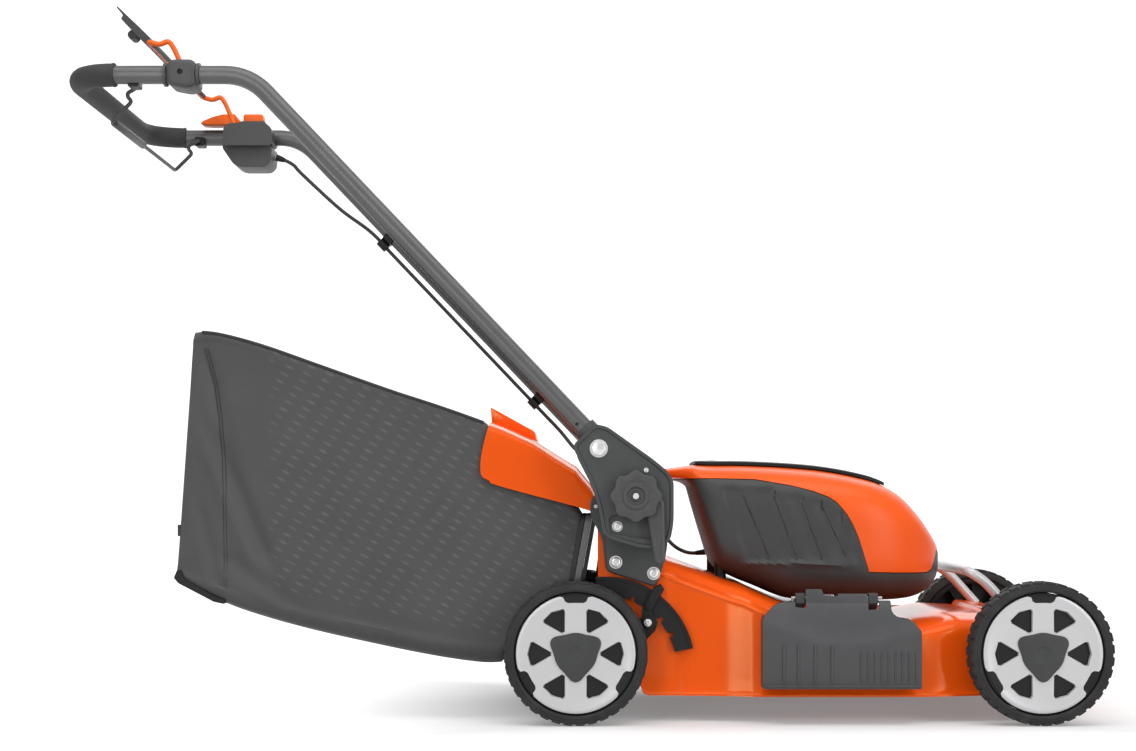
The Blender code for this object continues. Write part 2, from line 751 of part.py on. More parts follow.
def handle_tube(handle):
    half = [(LEG_FOOT[0], TUBE_Y, LEG_FOOT[1]), (LEG_BEND[0], TUBE_Y, GRIP_Z), (GRIP_X, TUBE_Y, GRIP_Z)]
    points = [(x, -y, z) for x, y, z in half] + list(reversed(half))
    tube = rounded_path(points, (LEG_REACH, GRIP_REACH, GRIP_REACH, LEG_REACH), 6)
    piece("handle_tube", sweep(tube, TUBE_RADIUS, 12, TUBE_RADIUS - TUBE_WALL), "dark_paint", handle)
    bends = [point for point in tube if point.x < GRIP_START]
    before = tube[tube.index(bends[0]) - 1]
    start = before.lerp(bends[0], (before.x - GRIP_START) / (before.x - bends[0].x))
    sleeve = [start] + bends + [Vector((start.x, -start.y, start.z))]
    piece("handle_grip", sweep(sleeve, 0.0170, 12, CHANNEL), "rubber", handle)


def tube_channel(side, low_x, high_x):
    """A cutter along the level part of the tube."""
    ends = [Vector((x, side * TUBE_Y, GRIP_Z)) for x in (low_x, high_x)]
    return sweep(ends, CHANNEL, 14)


# The knob is a nut on the bracket's own pivot bolt, and the cam lever turns beside it
CAM_PIVOT = (0.1025, 0.3208)
CAM_TIP = (0.1098, 0.2420)
CAM_Y = (0.2645, 0.2715)
KNOB_Y = (0.2725, 0.2835)
KNOB_LOBES = 8
BOLT_Y = (0.2070, 0.2790)


def upper_brackets(handle):
    foot = Vector((LEG_FOOT[0], 0, LEG_FOOT[1]))
    along = (Vector((LEG_BEND[0], 0, GRIP_Z)) - foot).normalized()
    for name, side in SIDES:
        shape = prism(UPPER_BRACKET, *span(UPPER_Y, side), "Y", 0.004, 1)
        beside = Vector((0, side * TUBE_Y, 0))
        channel = sweep([foot + beside - along * 0.001, foot + beside + along * 0.2], CHANNEL, 14)
        shape = cut(
            shape,
            channel,
            rod(CAM_PIVOT, 0.0044, *span((0.2520, 0.3000), side), "Y", 12),
        )
        shape = join(shape, rod(HANDLE_PIVOT, KNOB_BOLT, *span(BOLT_Y, side)))
        piece(f"bracket_upper_{name}", shape, "dark_plastic", handle)


def pivot_knobs(handle):
    for name, side in SIDES:
        x, z = HANDLE_PIVOT
        axis = joint_empty(f"knob_axis_{name}", (x, side * KNOB_Y[0], z), handle)
        outline = []
        for index in range(32):
            angle = 2 * math.pi * index / 32
            radius = 0.0340 + 0.0030 * math.cos(KNOB_LOBES * angle)
            outline.append((x + radius * math.cos(angle), z + radius * math.sin(angle)))
        shape = prism(outline, *span(KNOB_Y, side))
        shape = join(shape, rod(HANDLE_PIVOT, 0.012, *span((CAM_Y[0], KNOB_Y[0] + 0.001), side)))
        shape = cut(shape, rod(HANDLE_PIVOT, KNOB_BOLT + GAP, *span((0.2600, BOLT_Y[1] + GAP), side)))
        piece(f"pivot_knob_{name}", shape, "black_plastic", axis)


def cam_levers(handle):
    for name, side in SIDES:
        axis = joint_empty(f"cam_axis_{name}", (CAM_PIVOT[0], side * CAM_Y[0], CAM_PIVOT[1]), handle)
        shape = capsule(CAM_PIVOT, CAM_TIP, 0.0135, 0.0080, *span(CAM_Y, side))
        shape = join(shape, rod(CAM_PIVOT, 0.0040, *span((0.2530, CAM_Y[0] + 0.001), side), "Y", 12))
        piece(f"cam_lever_{name}", shape, "grey_plastic", axis)


# Handle fittings
CLAMP_OUTLINE = (
    (-0.6120, 0.9580), (-0.6060, 0.9320), (-0.5790, 0.9280), (-0.5670, 0.9340), (-0.5655, 0.9620),
    (-0.5730, 0.9700), (-0.6020, 0.9700),
)
FITTING_Y = (0.2045, 0.2625)
PIN_HOLE = 0.0044


def bail_clamp(handle):
    shape = prism(CLAMP_OUTLINE, *span(FITTING_Y, -1), "Y", 0.003, 1)
    shape = cut(shape, tube_channel(-1, -0.70, -0.50), rod(BAIL_PIVOT, PIN_HOLE, -0.2225, -0.10, "Y", 14))
    piece("bail_clamp", shape, "grey_plastic", handle)


BOX_SEAM_Z = 0.9330
BOX_LOWER = (
    (-0.6170, BOX_SEAM_Z), (-0.6170, 0.9240), (-0.5960, 0.8980), (-0.5860, 0.8930), (-0.5450, 0.8930),
    (-0.5350, 0.9030), (-0.5330, BOX_SEAM_Z),
)
BOX_UPPER = (
    (-0.6170, BOX_SEAM_Z + 0.0006), (-0.5330, BOX_SEAM_Z + 0.0006), (-0.5350, 0.9600), (-0.5420, 0.9680),
    (-0.6070, 0.9680), (-0.6150, 0.9610),
)
BOX_Y = (0.2045, 0.2705)
BUTTON_X = (-0.5860, -0.5520)
BUTTON_Y = (0.2260, 0.2540)


def control_box(handle):
    lower = prism(BOX_LOWER, *BOX_Y, "Y", 0.004, 1)
    piece("control_box", cut(lower, tube_channel(1, -0.70, -0.45)), "grey_plastic", handle)
    upper = prism(BOX_UPPER, *BOX_Y, "Y", 0.003, 1)
    collar = block((-0.5892, -0.5488), (BUTTON_Y[0] - 0.004, BUTTON_Y[1] + 0.004), (0.9660, 0.9760))
    pocket = block(
        (BUTTON_X[0] - GAP, BUTTON_X[1] + GAP), (BUTTON_Y[0] - GAP, BUTTON_Y[1] + GAP), (0.9685, 0.9900)
    )
    upper = cut(
        join(upper, collar),
        pocket,
        tube_channel(1, -0.70, -0.45),
        rod(BAIL_PIVOT, PIN_HOLE, 0.10, 0.2225, "Y", 14),
    )
    piece("control_box_cover", upper, "grey_plastic", handle)


SPEED_PIVOT = (-0.5970, 0.9745)


def speed_lever(handle):
    axis = joint_empty("speed_lever_axis", (SPEED_PIVOT[0], TUBE_Y, SPEED_PIVOT[1]), handle)
    outline = [(-0.6570, 0.9700), (-0.6500, 0.9760), (-0.6220, 0.9870), (-0.6000, 0.9875)]
    outline += circle(SPEED_PIVOT, 0.0056, 8, math.radians(80), math.radians(-90))
    shape = prism(outline, 0.2240, 0.2560, "Y", 0.0012, 1)
    piece("speed_lever", shape, "orange_paint", axis)


def start_button(handle):
    axis = joint_empty("start_button_axis", (sum(BUTTON_X) / 2, TUBE_Y, 0.9720), handle)
    piece("start_button", block(BUTTON_X, BUTTON_Y, (0.9722, 0.9880), 0.003, 1), "orange_paint", axis)


BAIL_Y = 0.198
BAIL_WIRE = 0.004
BAIL_LEG = (
    (-0.5994, 0.9740), (-0.6110, 1.0004), (-0.6190, 1.0120), (-0.6315, 1.0050), (-0.6490, 1.0100),
)
PADDLE_HALF = 0.180


def motor_bail(handle):
    axis = joint_empty("motor_bail_axis", (BAIL_PIVOT[0], 0, BAIL_PIVOT[1]), handle)
    leg = [(BAIL_PIVOT[0], 0.2215, BAIL_PIVOT[1]), (BAIL_PIVOT[0], BAIL_Y, BAIL_PIVOT[1])]
    leg += [(x, BAIL_Y, z) for x, z in BAIL_LEG]
    points = [(x, -y, z) for x, y, z in leg] + list(reversed(leg))
    wire = sweep(rounded_path(points, 0.008, 2), BAIL_WIRE, 6)
    piece("motor_bail", wire, "orange_paint", axis)
    # The paddle leans back and up from the bail's crossbar, which runs through its lower edge
    bar = Vector((BAIL_LEG[-1][0], BAIL_LEG[-1][1]))
    lean = Vector((-1, 1)).normalized()
    normal = Vector((1, 1)).normalized()
    low, high, half = bar - lean * 0.0075, bar + lean * 0.075, 0.0060
    thin = half * 0.8
    corners = [low - normal * half, low + normal * half, high + normal * thin, high - normal * thin]
    paddle = prism([tuple(corner) for corner in corners], -PADDLE_HALF, PADDLE_HALF, "Y", 0.002, 2)
    knob = rod(tuple(bar + lean * 0.036 - normal * 0.0095), 0.0070, -0.165, -0.140, "Y", 14)
    paddle = cut(join(paddle, knob), rod(tuple(bar), BAIL_WIRE + GAP, -0.3, 0.3, "Y", 14))
    piece("bail_paddle", paddle, "dark_plastic", axis)


DRIVE_LEG = (
    (-0.6760, 0.9305), (-0.6765, 0.9250), (-0.6700, 0.9180), (-0.6790, 0.9085), (-0.6990, 0.8890),
)
DRIVE_Y = 0.213
DRIVE_WIRE = 0.003
CLIP_Y = (0.2225, 0.2480)
CLIP_Z = (0.9325, 0.9480)


def drive_bail(handle):
    axis = joint_empty("drive_bail_axis", (DRIVE_BAIL_PIVOT[0], 0, DRIVE_BAIL_PIVOT[1]), handle)
    leg = [(DRIVE_BAIL_PIVOT[0], y, DRIVE_BAIL_PIVOT[1]) for y in (0.2280, DRIVE_Y)]
    leg += [(x, DRIVE_Y, z) for x, z in DRIVE_LEG]
    points = [(x, -y, z) for x, y, z in leg] + list(reversed(leg))
    piece("drive_bail", sweep(rounded_path(points, 0.006, 2), DRIVE_WIRE, 6), "dark_paint", axis)
    cx = DRIVE_BAIL_PIVOT[0]
    low, high = CLIP_Z
    outline = ((cx - 0.008, low), (cx + 0.008, low), (cx + 0.008, high), (cx - 0.008, high))
    for name, side in SIDES:
        shape = prism(outline, *span(CLIP_Y, side), "Y", 0.002, 1)
        hole = rod(DRIVE_BAIL_PIVOT, 0.0034, *span((0.20, 0.2285), side), "Y", 12)
        shape = cut(shape, tube_channel(side, -0.70, -0.60), hole)
        piece(f"drive_bail_clip_{name}", shape, "black_plastic", handle)


# Control cable: from the control box down the left leg, each route point as (x, y, z)
CABLE_RADIUS = 0.0032
CABLE_Y = 0.2450
LEG_DROP = 0.0235


def leg_point(distance, below, y):
    """A point beside the left leg: so far up from its foot and so far under its centre line."""
    foot = Vector((LEG_FOOT[0], LEG_FOOT[1]))
    along = (Vector((LEG_BEND[0], GRIP_Z)) - foot).normalized()
    under = Vector((-along.y, along.x))
    place = foot + along * distance + under * below
    return (place.x, y, place.y)


def control_cable(handle):
    route = ((-0.5310, 0.9160), (-0.5180, 0.9120), (-0.5020, 0.9030), (-0.4870, 0.8870), (-0.4228, 0.8280))
    points = [(x, CABLE_Y, z) for x, z in route]
    points += [leg_point(distance, LEG_DROP, CABLE_Y) for distance in (0.56, 0.50, 0.30, 0.18, 0.13, 0.09)]
    points += [leg_point(0.058, 0.0260, 0.2290), (-0.0120, 0.2188, 0.4090), (0.0110, 0.2186, 0.3890)]
    cable("control_cable", points, CABLE_RADIUS, handle)


def cable_clips(handle):
    """Bands that hold the cable under the left leg."""
    foot = Vector((LEG_FOOT[0], 0, LEG_FOOT[1]))
    along = (Vector((LEG_BEND[0], 0, GRIP_Z)) - foot).normalized()
    for name, distance in (("lower", 0.155), ("upper", 0.530)):
        half = 0.009
        x, _, z = leg_point(distance, 0.0, CABLE_Y)
        centre = Vector((x, CABLE_Y, z))
        under = Vector((leg_point(distance, 1.0, 0)[0] - x, 0, leg_point(distance, 1.0, 0)[2] - z))
        outer = sweep([centre - along * half, centre + along * half], 0.0178, 14)
        lug_centre = centre + under * LEG_DROP
        lug = sweep([lug_centre - along * half, lug_centre + along * half], 0.0075, 12)
        shape = join(outer, lug)
        shape = cut(
            shape,
            sweep([centre - along * 0.05, centre + along * 0.05], CHANNEL, 14),
            sweep([lug_centre - along * 0.05, lug_centre + along * 0.05], CABLE_RADIUS + 0.0009, 10),
        )
        piece(f"cable_clip_{name}", shape, "black_plastic", handle)


# Rear flap: a hood over the chute's mouth, each station (x, bottom, top)
FLAP_STATIONS = (
    (-0.1500, 0.3560, 0.4430), (-0.1250, 0.3480, 0.4380), (-0.0750, 0.3350, 0.4170),
    (-0.0453, 0.3270, 0.3990), (-0.0127, 0.3180, 0.3790), (0.0096, 0.3110, 0.3520),
    (0.0214, 0.3085, 0.3270),
)
FLAP_HALF_WIDTH = 0.2045
FLAP_LIFT = ((-0.1480, 0.4725), (-0.0800, 0.4350), (-0.0760, 0.4160), (-0.1440, 0.4395))


def rear_flap(root):
    axis = joint_empty("flap_axis", (FLAP_PIVOT[0], 0, FLAP_PIVOT[1]), root)
    rows = [
        arch_row(x, FLAP_HALF_WIDTH, bottom, top, min(0.030, 0.6 * (top - bottom)), 5.0, 8)
        for x, bottom, top in FLAP_STATIONS
    ]
    shape = thicken(skin(rows), 0.003)
    shape = cut(shape, rod(FLAP_PIVOT, 0.0034, -0.3, 0.3, "Y", 12))
    piece("rear_flap", join(shape, prism(FLAP_LIFT, -0.070, 0.070)), "orange_paint", axis)
    piece("flap_hinge_rod", rod(FLAP_PIVOT, 0.0030, -0.2140, 0.2140, "Y", 12), "steel", axis)


# Side discharge cover: outlines across the mower as (y, z)
COVER_X = (0.259, 0.490)
COVER_OUTER = (
    (-0.2300, 0.1803), (-0.2400, 0.1803), (-0.2535, 0.1700), (-0.2620, 0.1500), (-0.2665, 0.1000),
    (-0.2650, 0.0530), (-0.2300, 0.0530),
)
COVER_INNER = (
    (-0.2200, 0.1771), (-0.2388, 0.1771), (-0.2505, 0.1680), (-0.2588, 0.1495), (-0.2632, 0.1000),
    (-0.2615, 0.0400), (-0.2200, 0.0400),
)
COVER_CORNER = ((0.448, 0.1850), (0.458, 0.1580), (0.478, 0.1520), (0.495, 0.1380), (0.495, 0.1850))
KNUCKLE_X = (0.325, 0.415)


def discharge_cover(root):
    axis = joint_empty("discharge_cover_axis", (sum(COVER_X) / 2, *COVER_HINGE), root)
    shape = prism(COVER_OUTER, *COVER_X, "X")
    notches = []
    for low, high in LUG_X:
        notches.append(block((low - 0.001, high + 0.001), (-0.2480, -0.2100), (0.1675, 0.2015)))
    shape = cut(shape, prism(COVER_INNER, COVER_X[0] + 0.0035, COVER_X[1] - 0.0035, "X"), *notches)
    shape = cut(shape, prism(COVER_CORNER, -0.29, -0.20))
    knuckle = rod(COVER_HINGE, 0.0065, *KNUCKLE_X, "X", 14)
    hole = rod(COVER_HINGE, 0.0029, 0.2, 0.6, "X", 12)
    piece("discharge_cover", cut(join(shape, knuckle), hole), "grey_plastic", axis)


def discharge_hinge(root):
    piece("discharge_hinge_rod", rod(COVER_HINGE, 0.0025, 0.3085, 0.4315, "X", 12), "steel", root)


def battery_lid(root):
    axis = joint_empty("battery_lid_axis", (LID_HINGE[0], 0, LID_HINGE[1]), root)
    rows = []
    low, high = LID_X
    between = [station[0] for station in HULL_STATIONS if low < station[0] < high]
    for x in [low] + between + [high]:
        ys = [LID_HALF_WIDTH * (2 * k / 6 - 1) for k in range(7)]
        top = [(x, y, hull_top(x, y) + 0.0070) for y in ys]
        under = [(x, y, hull_top(x, y) + 0.0012) for y in reversed(ys)]
        rows.append(top + under)
    shape = bevel_all(skin(rows, closed=True, cap_first=True, cap_last=True), 0.0015, 1, 60)
    piece("battery_lid", shape, "dark_plastic", axis)


# Grass bag: stations from its back to its mouth, each (x, half width, bottom, top)
BAG_STATIONS = (
    (-0.6040, 0.182, 0.2080, 0.5730),
    (-0.5980, 0.193, 0.1960, 0.5810),
    (-0.5300, 0.200, 0.1720, 0.5700),
    (-0.4000, 0.202, 0.1370, 0.5280),
    (-0.2800, 0.202, 0.1090, 0.4890),
    (-0.1620, 0.199, 0.0870, 0.4480),
    (-0.1440, 0.197, 0.0850, 0.4230),
    (-0.1250, 0.196, 0.0860, 0.4150),
    (-0.0900, 0.195, 0.1300, 0.3940),
    (-0.0500, 0.193, 0.1850, 0.3670),
    (-0.0280, 0.191, 0.2000, 0.3480),
)
BAG_WALL = 0.003
FRAME_X = (-0.0274, 0.0140)


def lean_back(row):
    """The bag's back leans: its upper part stands further forward, and its mouth stays upright."""
    leaned = []
    for x, y, z in row:
        share = max(0.0, min(1.0, (-0.16 - x) / 0.40))
        leaned.append((x + 0.085 * share * (z - 0.30), y, z))
    return leaned


def grass_bag(root):
    axis = joint_empty("bag_axis", (FRAME_X[0], 0, 0.2700), root)
    rows = [lean_back(oval_row(x, width, bottom, top, 6.0, 20)) for x, width, bottom, top in BAG_STATIONS]
    piece("grass_bag", thicken(skin(rows, closed=True, cap_first=True), BAG_WALL), "fabric", axis)
    tops = ((FRAME_X[0], 0.3480), (FRAME_X[1], 0.3060))
    outer = [oval_row(x, 0.1915, 0.1990, top, 6.0, 20) for x, top in tops]
    inner = [oval_row(x, 0.1855, 0.2050, top, 6.0, 20) for x, top in ((-0.0300, 0.3420), (0.0200, 0.2990))]
    frame = cut(skin(outer, True, True, True), skin(inner, True, True, True))
    piece("bag_frame", frame, "black_plastic", axis)


def build():
    clear_scene()
    root = joint_empty("mower", (0, 0, 0))
    deck_shell(root)
    chute_floor(root)
    motor_housing(root)
    battery_packs(root)
    motor_stator(root)
    lower_plates(root)
    height_quadrant(root)
    front_carry_handle(root)
    drive_cable_lower(root)
    discharge_hinge(root)

    cranks = {}
    for end, centre in (("rear", REAR_CRANK), ("front", FRONT_CRANK)):
        cranks[end] = joint_empty(f"{end}_crank_axis", (centre[0], 0, centre[1]), root)
    crank("rear_crank", REAR_CRANK, (REAR_AXLE_X, AXLE_Z), cranks["rear"])
    crank("front_crank", FRONT_CRANK, (FRONT_AXLE_X, AXLE_Z), cranks["front"])
    height_lever(cranks["rear"])
    drive_gearbox(cranks["rear"])
    link_rod(joint_empty("link_axis", (REAR_CRANK[0], LINK_Y[0], REAR_CRANK[1] + LINK_ARM), cranks["rear"]))
    wheels(cranks)
    blade_group(joint_empty("blade_axis", (MOTOR_X, 0, BLADE_Z[0]), root))

    handle = joint_empty("handle_axis", (HANDLE_PIVOT[0], 0, HANDLE_PIVOT[1]), root)
    handle_tube(handle)
    upper_brackets(handle)
    pivot_knobs(handle)
    cam_levers(handle)
    bail_clamp(handle)
    control_box(handle)
    speed_lever(handle)
    start_button(handle)
    motor_bail(handle)
    drive_bail(handle)
    control_cable(handle)
    cable_clips(handle)

    rear_flap(root)
    discharge_cover(root)
    battery_lid(root)
    grass_bag(root)


build()
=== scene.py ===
# A cordless lawn mower: steel deck, battery motor unit, folding handle, grass bag and four wheels.
# Metres. +X is the mower's front, +Y its left side, +Z up, and the wheels stand on z = 0.

import math

import bmesh
import bpy
from mathutils import Matrix, Vector


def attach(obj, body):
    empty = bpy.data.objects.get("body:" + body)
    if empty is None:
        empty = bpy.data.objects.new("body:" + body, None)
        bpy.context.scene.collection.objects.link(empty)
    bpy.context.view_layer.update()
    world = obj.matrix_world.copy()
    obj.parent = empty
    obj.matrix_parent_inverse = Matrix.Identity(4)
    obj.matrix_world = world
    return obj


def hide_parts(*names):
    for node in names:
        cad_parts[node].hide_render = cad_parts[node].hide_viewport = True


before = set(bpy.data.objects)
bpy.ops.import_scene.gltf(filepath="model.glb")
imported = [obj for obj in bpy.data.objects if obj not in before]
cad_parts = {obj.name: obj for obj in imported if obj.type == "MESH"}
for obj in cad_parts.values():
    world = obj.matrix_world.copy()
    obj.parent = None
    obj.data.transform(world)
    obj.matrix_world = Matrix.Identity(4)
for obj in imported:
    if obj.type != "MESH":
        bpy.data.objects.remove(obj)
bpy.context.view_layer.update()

# Studio. The camera stands level at the mower's right side, at about deck height, and its shift sets
# the framing. A wide lamp hangs overhead, two narrow ones in front draw the upright streaks on the deck
# and one stands behind. A white sweep glows all round the mower. Under the mower the glow is held back,
# a painted shade that darkens the floor there on top of the real shadow it keeps.
PHOTO_WIDTH = 1136
FOCAL_PIXELS = 1920
SHIFT_PIXELS = (-27, 124.5)
SENSOR_MM = 36.0
camera = bpy.data.objects.new("camera", bpy.data.cameras.new("camera"))
camera.location = (0.0155, -3.055, 0.328)
camera.rotation_euler = (math.pi / 2, 0, 0)
camera.data.sensor_width = SENSOR_MM
camera.data.lens = FOCAL_PIXELS / PHOTO_WIDTH * SENSOR_MM
camera.data.shift_x, camera.data.shift_y = (pixels / PHOTO_WIDTH for pixels in SHIFT_PIXELS)
bpy.context.scene.collection.objects.link(camera)
bpy.context.scene.camera = camera
bpy.context.scene.view_settings.view_transform = "Standard"

for name, place, aim, size, power in (
    ("lamp_top", (0.1, -0.9, 2.6), (0.0, 0.0, 0.3), (3.0, 1.6), 31),
    ("lamp_left", (-1.12, -2.9, 1.05), (0.1, 0.0, 0.7), (0.42, 2.0), 17),
    ("lamp_right", (2.1, -2.3, 1.05), (0.1, 0.0, 0.6), (0.6, 2.0), 19),
    ("lamp_back", (0.0, 2.4, 1.9), (0.0, 0.0, 0.4), (3.0, 1.2), 12),
):
    lamp = bpy.data.objects.new(name, bpy.data.lights.new(name, "AREA"))
    lamp.data.shape = "RECTANGLE"
    lamp.data.size, lamp.data.size_y = size
    lamp.data.energy = power
    lamp.location = place
    lamp.rotation_euler = (Vector(aim) - Vector(place)).to_track_quat("-Z", "Y").to_euler()
    bpy.context.scene.collection.objects.link(lamp)


class Value:
    """A number that varies over a surface. Arithmetic on it adds Math nodes to its material."""

    def __init__(self, finish, socket):
        self.finish = finish
        self.socket = socket

    def math(self, operation, *others):
        return self.finish.node("ShaderNodeMath", {"operation": operation}, dict(enumerate((self, *others))))

    def clamped(self):
        return self.math("MAXIMUM", 0.0).math("MINIMUM", 1.0)

    def __add__(self, other):
        return self.math("ADD", other)

    def __sub__(self, other):
        return self.math("SUBTRACT", other)

    def __rsub__(self, other):
        return self.finish.node("ShaderNodeMath", {"operation": "SUBTRACT"}, {0: other, 1: self})

    def __mul__(self, other):
        return self.math("MULTIPLY", other)

    def __pow__(self, other):
        return self.math("POWER", other)

    def __gt__(self, other):
        return self.math("GREATER_THAN", other)


class Finish:
    """A material whose fixed numbers stand on its shader, and whose patterns are made by node()."""

    def __init__(self, name, **fixed):
        self.material = bpy.data.materials.new(name)
        self.material.use_nodes = True
        self.tree = self.material.node_tree
        self.shader = self.tree.nodes["Principled BSDF"]
        self.fixed = fixed
        for key, value in fixed.items():
            socket = self.shader.inputs[key.replace("_", " ").title().replace("Ior", "IOR")]
            socket.default_value = (*value, 1.0) if key == "base_color" else value

    def node(self, kind, settings, sockets, output=0):
        made = self.tree.nodes.new(kind)
        for key, value in settings.items():
            if key == "stops":
                ramp = made.color_ramp
                while len(ramp.elements) < len(value):
                    ramp.elements.new(0.5)
                for element, (position, colour) in zip(ramp.elements, value):
                    element.position = position
                    element.color = (*colour, 1.0)
            else:
                setattr(made, key, value)
        for key, value in sockets.items():
            if isinstance(value, Value):
                self.tree.links.new(value.socket, made.inputs[key])
            else:
                made.inputs[key].default_value = value
        return Value(self, made.outputs[output])

    def place(self, scale=(1, 1, 1)):
        """Coordinates in metres on the object, scaled for a pattern."""
        start = self.node("ShaderNodeTexCoord", {}, {}, "Object")
        return self.node("ShaderNodeMapping", {}, {"Vector": start, "Scale": scale})

    def along(self, axis):
        """The distance along one of the object's axes, in metres."""
        return self.node("ShaderNodeSeparateXYZ", {}, {0: self.place()}, axis)

    def noise(self, scale, detail=3.0, roughness=0.55, where=None):
        sockets = {"Vector": where or self.place(), "Scale": scale, "Detail": detail, "Roughness": roughness}
        return self.node("ShaderNodeTexNoise", {}, sockets)

    def shade(self, amount, low, high):
        """A colour between low and high, which amount of 0 to 1 chooses."""
        return self.node("ShaderNodeValToRGB", {"stops": ((0.0, low), (1.0, high))}, {"Fac": amount})

    def set(self, **links):
        for key, value in links.items():
            self.tree.links.new(value.socket, self.shader.inputs[key.replace("_", " ").title()])

    def bump(self, height, depth):
        """Raises the surface by height times depth, in metres."""
        sockets = {"Height": height, "Distance": depth, "Strength": 1.0}
        self.set(normal=self.node("ShaderNodeBump", {}, sockets, "Normal"))


FLOOR_COLOUR = (0.8, 0.8, 0.8)
FLOOR_BOUNCE = (0.45, 0.45, 0.45)
SHADE_MIDDLE = 0.32
SHADE_REACH = 0.37
SHADE_SIDE = 0.27
GLOW_UNDER = 0.15
GLOW_RISE = 0.73
sweep = bmesh.new()
edge = [sweep.verts.new((x, -9.0, 0.0)) for x in (-12.0, 12.0)]
line = [sweep.edges.new(edge)]
for y, z in ((5.0, 0.0), (6.6, 0.25), (7.6, 0.9), (8.0, 2.0), (8.0, 9.0)):
    grown = bmesh.ops.extrude_edge_only(sweep, edges=line)["geom"]
    line = [part for part in grown if isinstance(part, bmesh.types.BMEdge) and len(part.link_faces) == 1]
    line = [part for part in line if all(vert in grown for vert in part.verts)]
    for part in grown:
        if isinstance(part, bmesh.types.BMVert):
            part.co.y, part.co.z = y, z
bmesh.ops.recalc_face_normals(sweep, faces=sweep.faces)
floor = bpy.data.objects.new("floor", bpy.data.meshes.new("floor"))
sweep.to_mesh(floor.data)
sweep.free()
floor.data.shade_smooth()
bpy.context.scene.collection.objects.link(floor)
paper = Finish("paper", base_color=FLOOR_COLOUR, roughness=0.9)
ray = paper.tree.nodes.new("ShaderNodeLightPath")
camera_ray, glossy_ray, pane_ray = (
    Value(paper, ray.outputs[f"Is {kind} Ray"]) for kind in ("Camera", "Glossy", "Transmission")
)
seen = (camera_ray + glossy_ray + pane_ray).math("MINIMUM", 1.0)
paper.set(base_color=paper.shade(seen, FLOOR_BOUNCE, FLOOR_COLOUR))
# Painted shade: in a zone round the mower's footprint the glow is held back, which darkens the floor there;
# the real shadow of the floor's lit part shows within it.
white = (paper.along("Y").math("ABSOLUTE") - SHADE_SIDE) * 4.0
white = white.math("MAXIMUM", ((paper.along("X") - SHADE_MIDDLE).math("ABSOLUTE") - SHADE_REACH) * 2.5)
white = white.clamped()
glow = paper.node("ShaderNodeEmission", {}, {"Color": (1.0, 1.0, 1.0, 1.0), "Strength": 1.35})
share = seen * (white * GLOW_RISE + GLOW_UNDER)
bare = Value(paper, paper.shader.outputs[0])
soft = paper.node("ShaderNodeMixShader", {}, {"Fac": share, 1: bare, 2: glow})
paper.tree.links.new(soft.socket, paper.tree.nodes["Material Output"].inputs["Surface"])
floor.data.materials.append(paper.material)

world = bpy.data.worlds.new("studio")
bpy.context.scene.world = world
world.use_nodes = True
WORLD_LIGHT = 0.55
tree = world.node_tree
ray = tree.nodes.new("ShaderNodeLightPath")
strength = tree.nodes.new("ShaderNodeMapRange")
strength.inputs["To Min"].default_value = WORLD_LIGHT
strength.inputs["To Max"].default_value = 1.0
tree.links.new(ray.outputs["Is Camera Ray"], strength.inputs["Value"])
tree.links.new(strength.outputs["Result"], tree.nodes["Background"].inputs["Strength"])
tree.nodes["Background"].inputs["Color"].default_value = (1.0, 1.0, 1.0, 1.0)

# Wheels: a black rubber tyre on a black moulded dish, with a silver cover that has six windows and
# three notches, and a three-lobed cap over the axle. Built about the origin with the outer face
# towards +Y, then moved to each corner.
WHEEL_Y = 0.255
REAR_AXLE_X = -0.0125
FRONT_AXLE_X = 0.6645
AXLE_Z = 0.105
SIDES = (("right", -1), ("left", 1))


def grain(finish, size, depth, wear=0.12):
    """Fine moulded grain, with patches that reflect a little less evenly."""
    patches = finish.noise(14.0, 4.0)
    finish.set(roughness=patches * wear + (finish.fixed["roughness"] - wear / 2))
    finish.bump(finish.noise(size, 2.0, 0.7), depth)


def mottled(name, colour, low, high, scale, grains=(), **fixed):
    """A finish whose colour wanders from low to high. Grains are a moulded grain's size, depth and wear."""
    finish = Finish(name, base_color=colour, **fixed)
    finish.set(base_color=finish.shade(finish.noise(scale), low, high))
    if grains:
        grain(finish, *grains)
    return finish


rubber = Finish("rubber", base_color=(0.022, 0.022, 0.023), roughness=0.7, specular_ior_level=0.35)
dusty = rubber.noise(38.0, 5.0, 0.65) ** 2.0
rubber.set(base_color=rubber.shade(dusty, (0.017, 0.017, 0.018), (0.06, 0.059, 0.057)))
grain(rubber, 900.0, 0.00008, 0.2)

black_plastic = mottled(
    "black_plastic", (0.009, 0.009, 0.01), (0.007, 0.007, 0.008), (0.012, 0.012, 0.013),
    60.0, (1500.0, 0.00005), roughness=0.46, specular_ior_level=0.28,
)

dark_plastic = mottled(
    "dark_plastic", (0.038, 0.039, 0.04), (0.032, 0.033, 0.034), (0.045, 0.046, 0.047),
    45.0, (1600.0, 0.00006), roughness=0.52,
)

silver = Finish("silver_paint", base_color=(0.62, 0.62, 0.63), roughness=0.38, metallic=0.25)
flake = silver.noise(2600.0, 1.0)
silver.set(base_color=silver.shade(flake, (0.56, 0.56, 0.57), (0.7, 0.7, 0.71)))
silver.bump(silver.noise(700.0, 2.0), 0.00003)


